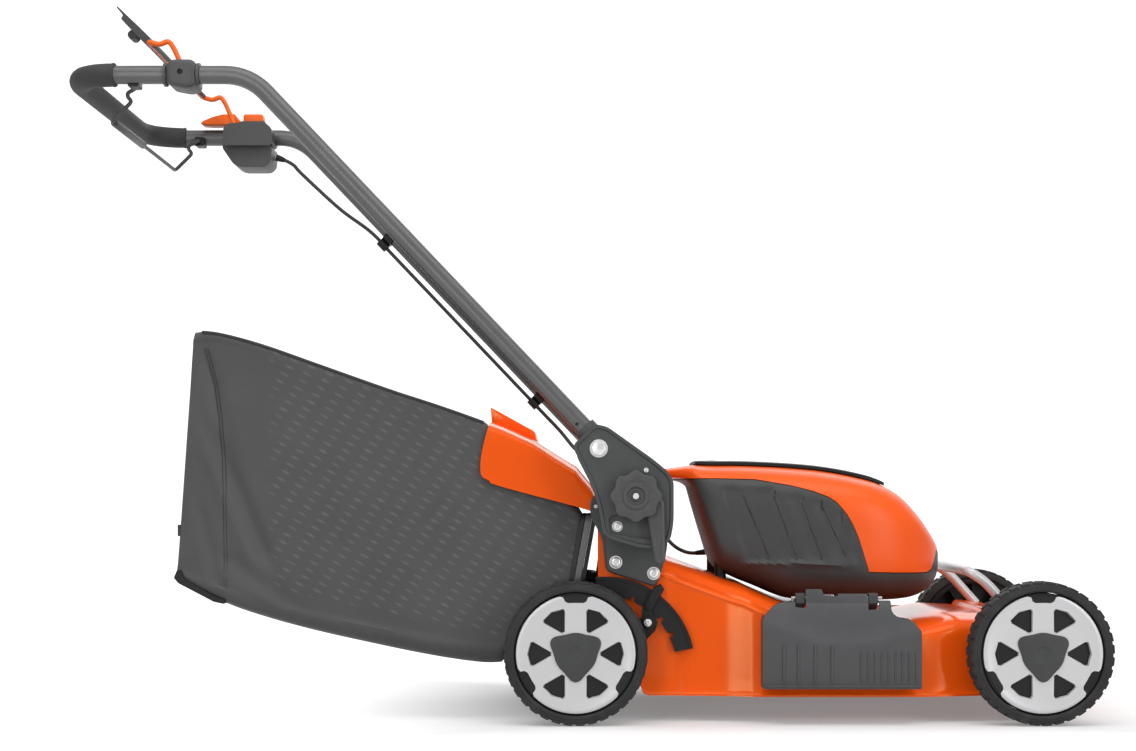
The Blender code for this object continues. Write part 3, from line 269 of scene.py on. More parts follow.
def piece(name, shape, finish, body, stands_for=(), bevel=0.0, segments=2, smooth=32):
    """Makes a bmesh in place into a finished piece that moves with a body and stands for CAD nodes."""
    mesh = bpy.data.meshes.new(name)
    shape.to_mesh(mesh)
    shape.free()
    mesh.shade_smooth()
    mesh.set_sharp_from_angle(angle=math.radians(smooth))
    mesh.materials.append(finish.material)
    made = bpy.data.objects.new(name, mesh)
    bpy.context.scene.collection.objects.link(made)
    if bevel:
        edge_rounding = made.modifiers.new("edges", "BEVEL")
        edge_rounding.width = bevel
        edge_rounding.segments = segments
        edge_rounding.limit_method = "ANGLE"
        edge_rounding.angle_limit = math.radians(smooth)
        edge_rounding.harden_normals = True
    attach(made, body)
    if stands_for:
        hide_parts(*stands_for)
    return made


def chain(shape, points, closed=True):
    """Draws points as a line or ring of edges."""
    verts = [shape.verts.new(point) for point in points]
    pairs = list(zip(verts, verts[1:])) + ([(verts[-1], verts[0])] if closed else [])
    return verts, [shape.edges.new(pair) for pair in pairs]


def welded(shape):
    """Joins the points that lie together and turns every face outwards."""
    bmesh.ops.remove_doubles(shape, verts=shape.verts, dist=1e-6)
    bmesh.ops.recalc_face_normals(shape, faces=shape.faces)
    return shape


def loft(sections, closed=True, cap_first=False, cap_last=False):
    """Draws the first section and pulls it through the others with extrusions."""
    shape = bmesh.new()
    ring, edges = chain(shape, sections[0], closed)
    first = list(ring)
    for section in sections[1:]:
        made = set(bmesh.ops.extrude_edge_only(shape, edges=edges)["geom"])
        following = []
        for vert, place in zip(ring, section):
            pulled = next(e.other_vert(vert) for e in vert.link_edges if e.other_vert(vert) in made)
            pulled.co = place
            following.append(pulled)
        edges = [e for e in made if isinstance(e, bmesh.types.BMEdge) and all(v in made for v in e.verts)]
        ring = following
    for wanted, loop in ((cap_first, first), (cap_last, ring)):
        if wanted:
            shape.faces.new(loop)
    bmesh.ops.recalc_face_normals(shape, faces=shape.faces)
    return shape


def turned(profile, count=96, centre=(0, 0, 0), axis=(0, 1, 0)):
    """Spins a profile of (radius, height) about an axis through centre."""
    shape = bmesh.new()
    along = Vector(axis)
    across = Vector((1, 0, 0)) if abs(along.x) < 0.5 else Vector((0, 0, 1))
    middle = Vector(centre)
    verts, edges = chain(shape, [middle + across * r + along * h for r, h in profile])
    full = 2 * math.pi
    bmesh.ops.spin(shape, geom=verts + edges, cent=middle, axis=along, angle=full, steps=count,
                   use_merge=True)
    return welded(shape)


def plate(outline, low, high, axis="Y", rounding=0.0, segments=2):
    """A flat outline pulled from low to high along an axis. X takes (y, z), Y (x, z) and Z (x, y)."""
    shape = bmesh.new()
    order = {"X": (2, 0, 1), "Y": (0, 2, 1), "Z": (0, 1, 2)}[axis]
    verts = []
    for a, b in outline:
        values = (a, b, low)
        verts.append(shape.verts.new([values[i] for i in order]))
    face = shape.faces.new(verts)
    grown = bmesh.ops.extrude_face_region(shape, geom=[face])["geom"]
    pull = Vector([((0, 0, high - low)[i]) for i in order])
    bmesh.ops.translate(shape, vec=pull, verts=[g for g in grown if isinstance(g, bmesh.types.BMVert)])
    bmesh.ops.recalc_face_normals(shape, faces=shape.faces)
    if rounding:
        soften(shape, rounding, segments)
    return shape


def soften(shape, width, segments=2):
    limit = math.radians(40)
    sharp = [e for e in shape.edges if len(e.link_faces) == 2 and e.calc_face_angle() > limit]
    bmesh.ops.bevel(
        shape, geom=sharp, offset=width, segments=segments, profile=0.5, affect="EDGES",
        clamp_overlap=True, material=-1,
    )
    return shape


def combine(target, other, operation="DIFFERENCE"):
    """Cuts, joins or intersects two closed shapes and returns the result."""
    objects = []
    for part in (target, other):
        bmesh.ops.recalc_face_normals(part, faces=part.faces)
        mesh = bpy.data.meshes.new("work")
        part.to_mesh(mesh)
        part.free()
        objects.append(bpy.data.objects.new("work", mesh))
        bpy.context.scene.collection.objects.link(objects[-1])
    modifier = objects[0].modifiers.new("cut", "BOOLEAN")
    modifier.operation = operation
    modifier.solver = "EXACT"
    modifier.object = objects[1]
    evaluated = objects[0].evaluated_get(bpy.context.evaluated_depsgraph_get())
    result = bmesh.new()
    result.from_mesh(evaluated.to_mesh())
    for part in objects:
        bpy.data.objects.remove(part, do_unlink=True)
    bmesh.ops.remove_doubles(result, verts=result.verts, dist=1e-6)
    return result


def merged(*shapes):
    """Puts several shapes into one bmesh, without joining their surfaces."""
    result = bmesh.new()
    for shape in shapes:
        mesh = bpy.data.meshes.new("work")
        shape.to_mesh(mesh)
        shape.free()
        result.from_mesh(mesh)
        bpy.data.meshes.remove(mesh)
    return result


def along_y(shape, sign):
    """Turns a shape made towards +Y about the origin to face the mower's outside."""
    if sign < 0:
        bmesh.ops.rotate(shape, matrix=Matrix.Rotation(math.pi, 3, "Z"), verts=shape.verts)
    return shape


def moved(shape, x, y, z):
    bmesh.ops.translate(shape, vec=(x, y, z), verts=shape.verts)
    return shape


def polar(radius, degrees):
    angle = math.radians(degrees)
    return radius * math.cos(angle), radius * math.sin(angle)


def arc(centre, radius, start, step, count):
    """Points round a centre, at even steps in degrees from a start."""
    turns = (polar(radius, start + step * k) for k in range(count))
    return [(centre[0] + a, centre[1] + b) for a, b in turns]


def even(low, high, count):
    """The values from low to high in a number of even steps."""
    return [low + (high - low) * k / count for k in range(count + 1)]


def unit(value):
    """A value held between 0 and 1."""
    return min(1.0, max(0.0, value))


def span(values, sign):
    """A low and a high value on the side of a sign."""
    return tuple(sorted(sign * value for value in values))


TYRE_SIDE = (
    (0.0891, 0.017), (0.09, 0.0205), (0.0925, 0.0222), (0.095, 0.0222), (0.0958, 0.0214),
    (0.0985, 0.0216), (0.1008, 0.0205), (0.1024, 0.0186), (0.1028, 0.012), (0.1029, 0.0048),
)
TREAD_BLOCKS = 36
STEPS_PER_BLOCK = 4
BLOCK_HEIGHT = 0.002


def tyre_shape():
    far = [(r, -y) for r, y in TYRE_SIDE]
    steps = TREAD_BLOCKS * STEPS_PER_BLOCK
    shape = turned(far + list(reversed(TYRE_SIDE)), steps)
    blocks = []
    for face in shape.faces:
        middle = face.calc_center_median()
        radius = math.hypot(middle.x, middle.z)
        step = int((math.atan2(middle.z, middle.x) / (2 * math.pi) + 1) * steps)
        stagger = 0 if middle.y > 0 else STEPS_PER_BLOCK // 2
        if radius > 0.1008 and abs(middle.y) > 0.006 and (step + stagger) % STEPS_PER_BLOCK:
            blocks.append(face)
    bmesh.ops.inset_region(shape, faces=blocks, thickness=0.0007, depth=BLOCK_HEIGHT, use_even_offset=True)
    return shape


DISH = (
    (0.0066, -0.0205), (0.017, -0.0205), (0.0185, 0.0105), (0.0785, 0.012), (0.08, -0.019),
    (0.0835, -0.0205), (0.0884, -0.0205), (0.0884, 0.019), (0.0868, 0.0202), (0.08, 0.0195),
    (0.077, 0.015), (0.034, 0.015), (0.024, 0.017), (0.0066, 0.017),
)
DISH_RIBS = 12
COVER = (
    (0.02, 0.0165), (0.086, 0.0165), (0.0872, 0.019), (0.0862, 0.0212), (0.084, 0.0222),
    (0.0805, 0.0222), (0.078, 0.0212), (0.056, 0.0206), (0.042, 0.0204), (0.02, 0.0204),
)
WINDOW = ((0.0385, -3), (0.062, -13.5), (0.0655, -12.5), (0.0668, 0), (0.0655, 12.5), (0.062, 13.5),
          (0.0385, 3))
WINDOW_TURNS = range(0, 360, 60)
NOTCH = (
    (0.095, -19), (0.0875, -17), (0.084, -12.5), (0.0775, -11.5), (0.0745, -8.5), (0.074, 0),
    (0.0745, 8.5), (0.0775, 11.5), (0.084, 12.5), (0.0875, 17), (0.095, 19),
)
NOTCH_TURNS = (90, 210, 330)


def dish_shape():
    shape = turned(DISH, 72)
    ribs = [shape]
    for index in range(DISH_RIBS):
        rib = plate(((0.017, -0.0165), (0.081, -0.012), (0.081, 0.013), (0.017, 0.011)), -0.0008, 0.0008, "Z")
        bmesh.ops.rotate(rib, matrix=Matrix.Rotation(2 * math.pi * index / DISH_RIBS, 3, "Y"),
                         verts=rib.verts)
        ribs.append(rib)
    for turn in NOTCH_TURNS:
        outline = [polar(min(r, 0.088) + (0.0006 if r < 0.08 else 0.0), turn + 0.97 * a) for r, a in NOTCH]
        ribs.append(plate(outline, 0.014, 0.0212, rounding=0.0008))
    return merged(*ribs)


def flared(outline, low, high, flare):
    """A cutter along Y whose far end is the outline and whose near end is wider all round."""
    shape = plate(outline, low, high)
    middle = Vector((sum(a for a, _ in outline), 0, sum(b for _, b in outline))) / len(outline)
    for vert in shape.verts:
        if abs(vert.co.y - high) < 1e-6:
            out = Vector((vert.co.x - middle.x, 0, vert.co.z - middle.z))
            vert.co += out.normalized() * flare
    return shape


def cover_shape():
    shape = turned(COVER, 96)
    for turn in WINDOW_TURNS:
        outline = [polar(r, turn + a) for r, a in WINDOW]
        shape = combine(shape, flared(outline, 0.01, 0.023, 0.0042))
    for turn in NOTCH_TURNS:
        outline = [polar(r, turn + a) for r, a in NOTCH]
        shape = combine(shape, plate(outline, 0.01, 0.03))
    return shape


CAP_RINGS = (
    (0.0308, 0.0102, 0.019), (0.0308, 0.0102, 0.022), (0.0305, 0.0101, 0.0226), (0.0299, 0.0099, 0.023),
    (0.0292, 0.0096, 0.0232), (0.023, 0.007, 0.024), (0.015, 0.003, 0.0245), (0.0106, 0.0004, 0.0246),
    (0.0102, 0.0, 0.0244), (0.0099, 0.0, 0.024), (0.009, 0.0, 0.0239),
)


def cap_shape():
    """A three-lobed dome with a shallow round recess, from (radius, height of a lobe, y)."""
    rings = []
    for radius, lobe, y in CAP_RINGS:
        ring = []
        for step in range(120):
            off = (3 * step + 30) % 120 - 60
            a, b = polar(radius + lobe * math.exp(-(off / 21) ** 2), 3 * step)
            ring.append((a, y, b))
        rings.append(ring)
    return loft(rings, cap_first=True, cap_last=True)


wheel_parts = (
    ("tyre", tyre_shape(), rubber, "tyre", 0.0), ("hub", cover_shape(), silver, "silver", 0.0009),
    ("wheel_dish", dish_shape(), black_plastic, "black_plastic", 0.0005),
    ("hub_cap", cap_shape(), dark_plastic, "dark_plastic", 0.0004),
)
for label, shape, finish, slot, rounding in wheel_parts:
    for end, x in (("rear", REAR_AXLE_X), ("front", FRONT_AXLE_X)):
        for side, sign in SIDES:
            copy = moved(along_y(shape.copy(), sign), x, sign * WHEEL_Y, AXLE_Z)
            node = f"{label}_{end}_{side}"
            stands_for = (node,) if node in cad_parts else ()
            shown = node if label == "wheel_dish" else f"{node}_shown"
            piece(shown, copy, finish, f"wheel_{end}_{side}", stands_for, rounding)
    shape.free()

# Deck: one deep-drawn steel shell, sprayed gloss orange, open underneath. It has a rolled rim, three
# pressed ridges along each shoulder and an opening on the right for side discharge. Its sections are
# (x, half width, rim, top).
DECK = (
    (0.02, 0.2, 0.19, 0.306), (0.05, 0.202, 0.13, 0.287), (0.084, 0.204, 0.054, 0.264),
    (0.0885, 0.204, 0.038, 0.261), (0.125, 0.204, 0.038, 0.241), (0.136, 0.204, 0.038, 0.237),
    (0.149, 0.2076, 0.038, 0.232), (0.168, 0.208, 0.038, 0.225), (0.19, 0.2098, 0.038, 0.217),
    (0.212, 0.2135, 0.038, 0.209), (0.236, 0.22, 0.038, 0.202), (0.256, 0.2254, 0.038, 0.1925),
    (0.31, 0.226, 0.038, 0.1715), (0.36, 0.226, 0.038, 0.167), (0.41, 0.226, 0.038, 0.16),
    (0.45, 0.226, 0.038, 0.151), (0.485, 0.226, 0.038, 0.147), (0.515, 0.223, 0.038, 0.152),
    (0.55, 0.216, 0.038, 0.159), (0.6, 0.203, 0.038, 0.157), (0.66, 0.192, 0.038, 0.152),
    (0.71, 0.176, 0.038, 0.147), (0.735, 0.15, 0.038, 0.14),
)
SHOULDER = 0.05
DECK_WALL = 0.002
DECK_DROPS = (
    0.05, 0.044, 0.039, 0.0355, 0.0335, 0.0315, 0.0295, 0.0275, 0.0255, 0.0235, 0.0215, 0.0195, 0.0175,
    0.0155, 0.0135, 0.0115, 0.0095, 0.0075, 0.0055, 0.004, 0.0025, 0.0014, 0.0006, 0.0001,
)
RIDGE_DROPS = (0.0095, 0.0195, 0.0295)
RIDGE_HEIGHT = 0.002
DECK_DRAFT = 0.06
MOTOR_X = 0.36


def eased(stations, x):
    """Values at x on a smooth line through the stations, which are sorted by their first number."""
    index = max(i for i in range(len(stations) - 1) if stations[i][0] <= x or i == 0)
    a, b = stations[index], stations[index + 1]
    before = stations[max(index - 1, 0)]
    after = stations[min(index + 2, len(stations) - 1)]
    width = b[0] - a[0]
    t = (x - a[0]) / width
    values = []
    for k in range(1, len(a)):
        start = (b[k] - before[k]) / (b[0] - before[0]) * width
        end = (after[k] - a[k]) / (after[0] - a[0]) * width
        rise = b[k] - a[k]
        if rise == 0 or start * rise < 0 or end * rise < 0:
            start = end = 0.0
        start = math.copysign(min(abs(start), 3 * abs(rise)), rise)
        end = math.copysign(min(abs(end), 3 * abs(rise)), rise)
        smooth = t * t * (3 - 2 * t)
        values.append(a[k] + rise * smooth + start * t * (1 - t) ** 2 - end * t * t * (1 - t))
    return values


def hollowed(shape, thickness):
    """Gives an open skin a wall, on the side away from its outer face."""
    middle = sum((v.co for v in shape.verts), Vector()) / len(shape.verts)
    if sum((f.calc_center_median() - middle).dot(f.normal) * f.calc_area() for f in shape.faces) < 0:
        bmesh.ops.reverse_faces(shape, faces=shape.faces)
    bmesh.ops.solidify(shape, geom=shape.faces, thickness=thickness)
    return shape


def deck_section(x):
    half, rim, top = eased(DECK, x)
    middle = top - SHOULDER
    flare = 0.003
    side = [(half + flare, rim), (half + flare, rim + 0.003), (half + 0.001, rim + 0.0058),
            (half, rim + 0.009)]
    wall_top = max(middle, rim + 0.012)
    side += [(half, rim + 0.009 + (wall_top - rim - 0.009) * k / 6) for k in range(1, 6)]
    for drop in DECK_DROPS:
        z = top - drop
        if z <= side[-1][1]:
            continue
        y = half * (1 - ((SHOULDER - drop) / SHOULDER) ** 5) ** 0.2
        ridge = sum(math.exp(-((drop - centre) / 0.0024) ** 2) for centre in RIDGE_DROPS)
        fade = unit((0.3 - x) / 0.05) * unit((x - 0.05) / 0.03)
        side.append((y + ridge * fade * RIDGE_HEIGHT, z))
    while len(side) < 9 + len(DECK_DROPS):
        side.insert(4, side[4])
    side += [(half * share, top) for share in (0.22, 0.1)]
    behind = unit((x - 0.12) / 0.03) * unit((0.32 - x) / 0.05)
    draft = DECK_DRAFT * max(behind, unit((x - 0.46) / 0.05))
    side = [(y - draft * (z - rim) * y / half, z) for y, z in side]
    right = [(x, -y, z) for y, z in side]
    return right + [(x, 0.0, top)] + [(x, y, z) for y, z in reversed(side)]


ORANGE_ROUGHNESS = 0.15
GRIME_TOP = 0.12
orange_paint = Finish(
    "orange_paint", base_color=(1.0, 0.105, 0.005), roughness=ORANGE_ROUGHNESS, specular_ior_level=0.36,
    specular_tint=(1.0, 0.8, 0.42, 1.0),
)
flow = orange_paint.noise(4.0, 2.0)
orange_paint.set(base_color=orange_paint.shade(flow, (0.97, 0.1, 0.005), (1.0, 0.112, 0.006)))
speckle = orange_paint.noise(230.0, 4.0, 0.7) > 0.66
grime = speckle * (GRIME_TOP - orange_paint.along("Z")).math("MAXIMUM", 0.0) * 3.0
orange_paint.set(roughness=grime + ORANGE_ROUGHNESS)
orange_paint.bump(orange_paint.noise(420.0, 1.0), 0.00002)

deck = loft([deck_section(x) for x in even(DECK[0][0], DECK[-1][0], 96)], closed=False, cap_last=True)
deck = hollowed(welded(deck), DECK_WALL)
FRONT_CRANK = (0.7072, 0.081)
REAR_CRANK = (0.0302, 0.081)


def round_bar(radius, low, high, centre=(0, 0), axis="Y"):
    """A straight round bar along an axis, whose centre is (x, z), (y, z) or (x, y)."""
    return plate(arc(centre, radius, 0, 11.25, 32), low, high, axis)


def block(x, y, z):
    return plate(((x[0], y[0]), (x[1], y[0]), (x[1], y[1]), (x[0], y[1])), *z, "Z")


deck = combine(deck, merged(
    round_bar(0.021, 0.1, 0.25, (MOTOR_X, 0), "Z"),
    round_bar(0.0085, -0.25, 0.25, FRONT_CRANK),
    block((0.275, 0.475), (-0.3, -0.19), (0.06, 0.128)),
))
piece("deck_painted", deck, orange_paint, "chassis", ("deck_shell",), smooth=28)

# A pressed steel brace crosses the nose, and a short rubber strip hangs at each side under its rim.
brace = loft([
    [(x, y, z) for y, z in ((-0.15, low), (-0.15, high), (0.15, high), (0.15, low))]
    for x, low, high in ((0.61, 0.15, 0.156), (0.616, 0.15, 0.1625), (0.655, 0.14, 0.159),
                         (0.664, 0.14, 0.15))
], cap_first=True, cap_last=True)
piece("nose_brace", brace, orange_paint, "chassis", bevel=0.003, segments=3)
skirt = merged(*[
    plate(((0.665, 0.047), (0.665, 0.0365), (0.73, 0.0365), (0.73, 0.047)), *span((0.15, 0.153), s))
    for _, s in SIDES
])
piece("nose_skirt", skirt, rubber, "chassis", bevel=0.0006)

# Chute floor: a slanting steel sheet, powder coated dark, between the blade chamber and the rear axle.
dark_paint = mottled(
    "dark_paint", (0.045, 0.046, 0.049), (0.038, 0.039, 0.042), (0.055, 0.056, 0.059),
    30.0, (1200.0, 0.00003, 0.08), roughness=0.36, coat_weight=0.25, coat_roughness=0.25,
)
chute = plate(((0.024, 0.188), (0.087, 0.042), (0.091, 0.042), (0.028, 0.188)), -0.196, 0.196)
piece("chute_sheet", chute, dark_paint, "chassis", ("chute_floor",), bevel=0.0008)

# Side discharge cover: moulded dark plastic with an upright ribbed panel under a sloping shoulder. It
# hangs on a steel rod between two lugs bolted to the deck, a coil spring holds it shut and a thin guard
# plate stands in front of the hinge.
COVER_X = (0.2595, 0.4905)
COVER_CREASE = ((0.259, 0.152), (0.295, 0.14), (0.357, 0.118), (0.41, 0.119), (0.45, 0.129), (0.491, 0.136))
COVER_HINGE = (-0.2335, 0.184)
COVER_OUTLINE = (
    (0.259, 0.0525), (0.259, 0.15), (0.262, 0.158), (0.276, 0.173), (0.285, 0.177),
    (0.306, 0.18), (0.306, 0.205), (0.448, 0.205), (0.449, 0.164), (0.457, 0.1575),
    (0.472, 0.155), (0.482, 0.149), (0.4915, 0.135), (0.4915, 0.0525),
)
LUG_X = ((0.3095, 0.3235), (0.4165, 0.4305))


def cover_section(x):
    (crease,) = eased(COVER_CREASE, x)
    outer = [(-0.265, 0.053), (-0.2662, 0.056), (-0.2668, 0.08), (-0.2662, crease - 0.008),
             (-0.2655, crease - 0.002)]
    outer += [(-0.2638, crease + 0.003), (-0.256, crease + 0.016)]
    rise = 0.1803 - (crease + 0.016)
    outer += [(-0.256 + 0.013 * t ** 1.4, crease + 0.016 + rise * t) for t in (0.25, 0.5, 0.75, 0.92)]
    outer += [(-0.24, 0.1803), (-0.229, 0.1803), (-0.229, 0.053)]
    return [(x, y, z) for y, z in outer]


cover = loft([cover_section(x) for x in even(*COVER_X, 66)], cap_first=True, cap_last=True)
inner = (
    (-0.22, 0.1771), (-0.238, 0.1771), (-0.244, 0.172), (-0.25, 0.152), (-0.257, 0.129),
    (-0.263, 0.105), (-0.263, 0.04), (-0.22, 0.04),
)
hinge_gaps = [block((low - 0.001, high + 0.001), (-0.248, -0.21), (0.1675, 0.2015)) for low, high in LUG_X]
cover = combine(cover, plate(COVER_OUTLINE, -0.28, -0.2, rounding=0.004), "INTERSECT")
cover = combine(cover, merged(*hinge_gaps))
cover = combine(cover, plate(inner, COVER_X[0] + 0.003, COVER_X[1] - 0.003, "X"))
grey_plastic = mottled(
    "grey_plastic", (0.062, 0.063, 0.066), (0.054, 0.055, 0.058), (0.07, 0.071, 0.074),
    50.0, (1500.0, 0.00006), roughness=0.55,
)
ribs = []
wide = [(x, 0.0022, 0.0016, 0.062, 0.116 + 0.05 * (0.36 - x), -0.2684, 0.0012)
        for x in (0.29, 0.311, 0.3355, 0.36)]
narrow = [(0.402 + 0.01 * k, 0.0013, 0.001, 0.063, 0.108, -0.268, 0.0009) for k in range(9)]
bar = [(0.375, 0.113, 0.113, 0.056, 0.059, -0.2682, 0.001)]
for middle, foot, tip, bottom, top, face, rounding in wide + narrow + bar:
    outline = ((middle - foot, bottom), (middle + foot, bottom), (middle + tip, top), (middle - tip, top))
    ribs.append(plate(outline, face, -0.264, rounding=rounding))
guard = plate(((0.324, 0.1765), (0.324, 0.1975), (0.347, 0.1975), (0.351, 0.1885), (0.416, 0.1845),
               (0.416, 0.17)), -0.244, -0.2415, rounding=0.0006)
knuckles = [round_bar(0.0065, low, high, COVER_HINGE, "X") for low, high in ((0.326, 0.34), (0.372, 0.415))]
piece("discharge_flap", merged(cover, guard, *knuckles, *ribs), grey_plastic, "side_cover",
      ("discharge_cover",), bevel=0.0007)

lugs = []
for low, high in LUG_X:
    top = eased(DECK, (low + high) / 2)[2]
    lugs.append(plate((
        (-0.241, 0.1765), (-0.241, 0.189), (-0.237, 0.1915), (-0.227, 0.1915), (-0.2, top),
        (-0.2, top - 0.012), (-0.218, top - 0.02), (-0.226, 0.1665),
    ), low, high, "X"))
piece("hinge_lugs", merged(*lugs), dark_plastic, "chassis", bevel=0.0012)


def wire(points, radius, sides=16, radii=()):
    """A round wire, tube or cable along points, drawn as a curve and turned into a bmesh. With radii,
    each point has its own."""
    data = bpy.data.curves.new("work", "CURVE")
    data.dimensions = "3D"
    data.bevel_depth = radius
    data.bevel_resolution = sides // 4 - 1
    data.use_fill_caps = True
    spline = data.splines.new("POLY")
    spline.points.add(len(points) - 1)
    for point, place in zip(spline.points, points):
        point.co = (*place, 1.0)
    for point, share in zip(spline.points, radii):
        point.radius = share
    drawn = bpy.data.objects.new("work", data)
    bpy.context.scene.collection.objects.link(drawn)
    shape = bmesh.new()
    shape.from_mesh(drawn.evaluated_get(bpy.context.evaluated_depsgraph_get()).to_mesh())
    bpy.data.objects.remove(drawn, do_unlink=True)
    return welded(shape)


steel = Finish("steel", base_color=(0.52, 0.52, 0.53), roughness=0.3, metallic=1.0)
scratches = steel.noise(180.0, 3.0, 0.6, steel.place((1.0, 6.0, 1.0)))
steel.set(roughness=scratches * 0.2 + 0.2,
          base_color=steel.shade(scratches, (0.42, 0.42, 0.43), (0.62, 0.62, 0.63)))
spring = [(0.3425 + 0.0022 * k / 12, *place)
          for k, place in enumerate(arc(COVER_HINGE, 0.0054, 0, 30, 11 * 12 + 1))]
spring += [(0.367, -0.2395, 0.1835), (0.367, -0.2403, 0.182)]
piece("cover_spring", wire(spring, 0.0009, 8), steel, "chassis", smooth=50)
rod = wire([(0.304, *COVER_HINGE), (0.437, *COVER_HINGE)], 0.0025)
piece("cover_rod", rod, steel, "chassis", ("discharge_hinge_rod",), smooth=50)

# Motor unit: an orange cover over a dark moulded housing, which meet on one curved seam. Its sections
# across the mower are (x, half width, bottom, top), with rounded corners.
HULL = (
    (0.125, 0.112, 0.362, 0.377), (0.163, 0.14, 0.35, 0.382), (0.172, 0.146, 0.32, 0.3825),
    (0.185, 0.152, 0.275, 0.383), (0.202, 0.158, 0.225, 0.3835), (0.225, 0.163, 0.21, 0.3835),
    (0.26, 0.168, 0.1955, 0.3825), (0.31, 0.171, 0.176, 0.38), (0.36, 0.171, 0.1725, 0.3755),
    (0.41, 0.168, 0.172, 0.367), (0.45, 0.161, 0.172, 0.356), (0.485, 0.149, 0.1735, 0.337),
    (0.512, 0.131, 0.1785, 0.31), (0.532, 0.108, 0.189, 0.284), (0.545, 0.082, 0.204, 0.265),
    (0.551, 0.058, 0.218, 0.252),
)
SEAM = (
    (0.1, 0.36), (0.2, 0.3605), (0.2574, 0.359), (0.3145, 0.349), (0.345, 0.341), (0.368, 0.332),
    (0.38, 0.324), (0.3949, 0.306), (0.404, 0.29), (0.412, 0.272), (0.419, 0.25),
    (0.4287, 0.219), (0.47, 0.2178), (0.522, 0.2172), (0.531, 0.2215), (0.537, 0.233),
    (0.543, 0.25), (0.58, 0.252),
)
HULL_WALL = 0.0035
HULL_POINTS = 72
HULL_POWER = 4.0


def power(value, exponent):
    return math.copysign(abs(value) ** exponent, value)


def oval(x, half, bottom, top, count=HULL_POINTS):
    """A closed section across the mower, with rounded corners."""
    points = []
    for k in range(count):
        across, up = polar(1.0, 360 * (k + 0.5) / count)
        y = half * power(across, 2 / HULL_POWER)
        points.append((x, y, (bottom + top) / 2 + (top - bottom) / 2 * power(up, 2 / HULL_POWER)))
    return points


def hull(inset):
    sections = []
    for x in even(HULL[0][0], HULL[-1][0], 90):
        half, bottom, top = eased(HULL, x)
        if not inset or 0.182 < x < 0.547:
            sections.append(oval(x, half - inset, bottom + inset, top - inset))
    return loft(sections, cap_first=True, cap_last=True)


def above_seam(shift):
    return plate([(x, z + shift) for x, z in SEAM] + [(0.58, 0.45), (0.1, 0.45)], -0.25, 0.25)


orange_plastic = mottled(
    "orange_plastic", (1.0, 0.115, 0.007), (0.97, 0.108, 0.006), (1.0, 0.122, 0.008),
    5.0, (1400.0, 0.00003, 0.1), roughness=0.34, specular_ior_level=0.28,
)

SEAM_GAP = 0.0006
well = block((0.196, 0.436), (-0.088, 0.088), (0.3, 0.42))
top_cover = combine(hull(0.0), above_seam(SEAM_GAP), "INTERSECT")
top_cover = combine(combine(top_cover, hull(HULL_WALL)), well)
piece("motor_top", top_cover, orange_plastic, "chassis", ("motor_cover",), bevel=0.0009,
      segments=2, smooth=40)

# The housing's sides are sunk below the seam, with four slanting ribs that lap like shingles, and a
# ledge under them.
VENT_EDGES = (((0.2385, 0.334), (0.279, 0.236)), ((0.284, 0.333), (0.319, 0.238)),
              ((0.325, 0.324), (0.357, 0.238)), ((0.356, 0.319), (0.392, 0.242)))
LEDGE_Z = 0.232


def sunk_side(x, z):
    """How far the housing's side stands in or out at a point beside it."""
    edges = [x0 + (x1 - x0) * (z - z0) / (z1 - z0) for (x0, z0), (x1, z1) in VENT_EDGES]
    seam = min(SEAM, key=lambda p: abs(p[0] - x))[1]
    inside = unit((seam - 0.012 - z) / 0.006) * unit((z - LEDGE_Z - 0.002) / 0.005)
    rear = 0.205 + 0.04 * max(0.0, 0.33 - z) / 0.1
    front = 0.395 + 0.03 * max(0.0, 0.3 - z) / 0.08 - 0.1 * max(0.0, z - 0.3)
    inside *= unit((x - rear) / 0.01) * unit((front - x) / 0.008)
    depth = -0.0045
    passed = [x - edge for edge in edges if x >= edge]
    if passed:
        depth += 0.0022 * math.exp(-((min(passed) - 0.012) / 0.012) ** 2)
    ledge = 0.0035 * math.exp(-((z - LEDGE_Z) / 0.0035) ** 2)
    ledge *= unit((x - 0.23) / 0.02) * unit((0.412 - x) / 0.01)
    return inside * depth + ledge


rows = []
for x in even(HULL[0][0], HULL[-1][0], 212):
    half, bottom, top = eased(HULL, x)
    section = []
    for _, y, z in oval(x, half, bottom, top, 120):
        if abs(y) > 0.6 * half:
            y = math.copysign(abs(y) + sunk_side(x, z), y)
        section.append((x, y, z))
    rows.append(section)
housing = combine(loft(rows, cap_first=True, cap_last=True), above_seam(-SEAM_GAP))
housing = combine(housing, hull(HULL_WALL + 0.006))
housing = combine(housing, round_bar(0.03, 0.15, 0.22, (MOTOR_X, 0), "Z"))
for _, sign in SIDES:
    for (x0, z0), (x1, z1) in VENT_EDGES:
        route = []
        for x, z in zip(even(x0, x1, 12), even(z0, z1, 12)):
            half, bottom, top = eased(HULL, x)
            up = abs(2 * (z - bottom) / (top - bottom) - 1)
            y = half * (1 - up ** HULL_POWER) ** (1 / HULL_POWER)
            route.append((x, sign * (y + sunk_side(x, z) + 0.0004), z))
        housing = combine(housing, wire(route, 0.0014, 8))
piece("motor_housing", housing, dark_plastic, "chassis", ("motor_base",), smooth=38)

# Two screw posts stand between the deck and the rear of the housing.
posts = [round_bar(0.009, 0.196, 0.3, (0.208, sign * 0.1), "Z") for _, sign in SIDES]
piece("housing_posts", merged(*posts), black_plastic, "chassis", bevel=0.001)

# Battery lid: a dark moulded lid over the well, hinged at its front edge, with a sunk panel.
LID_X = (0.17, 0.462)
LID_HALF = 0.1


def hull_top(x, y):
    half, bottom, top = eased(HULL, x)
    rise = max(0.0, 1 - abs(y / half) ** HULL_POWER) ** (1 / HULL_POWER)
    return (bottom + top) / 2 + (top - bottom) / 2 * rise


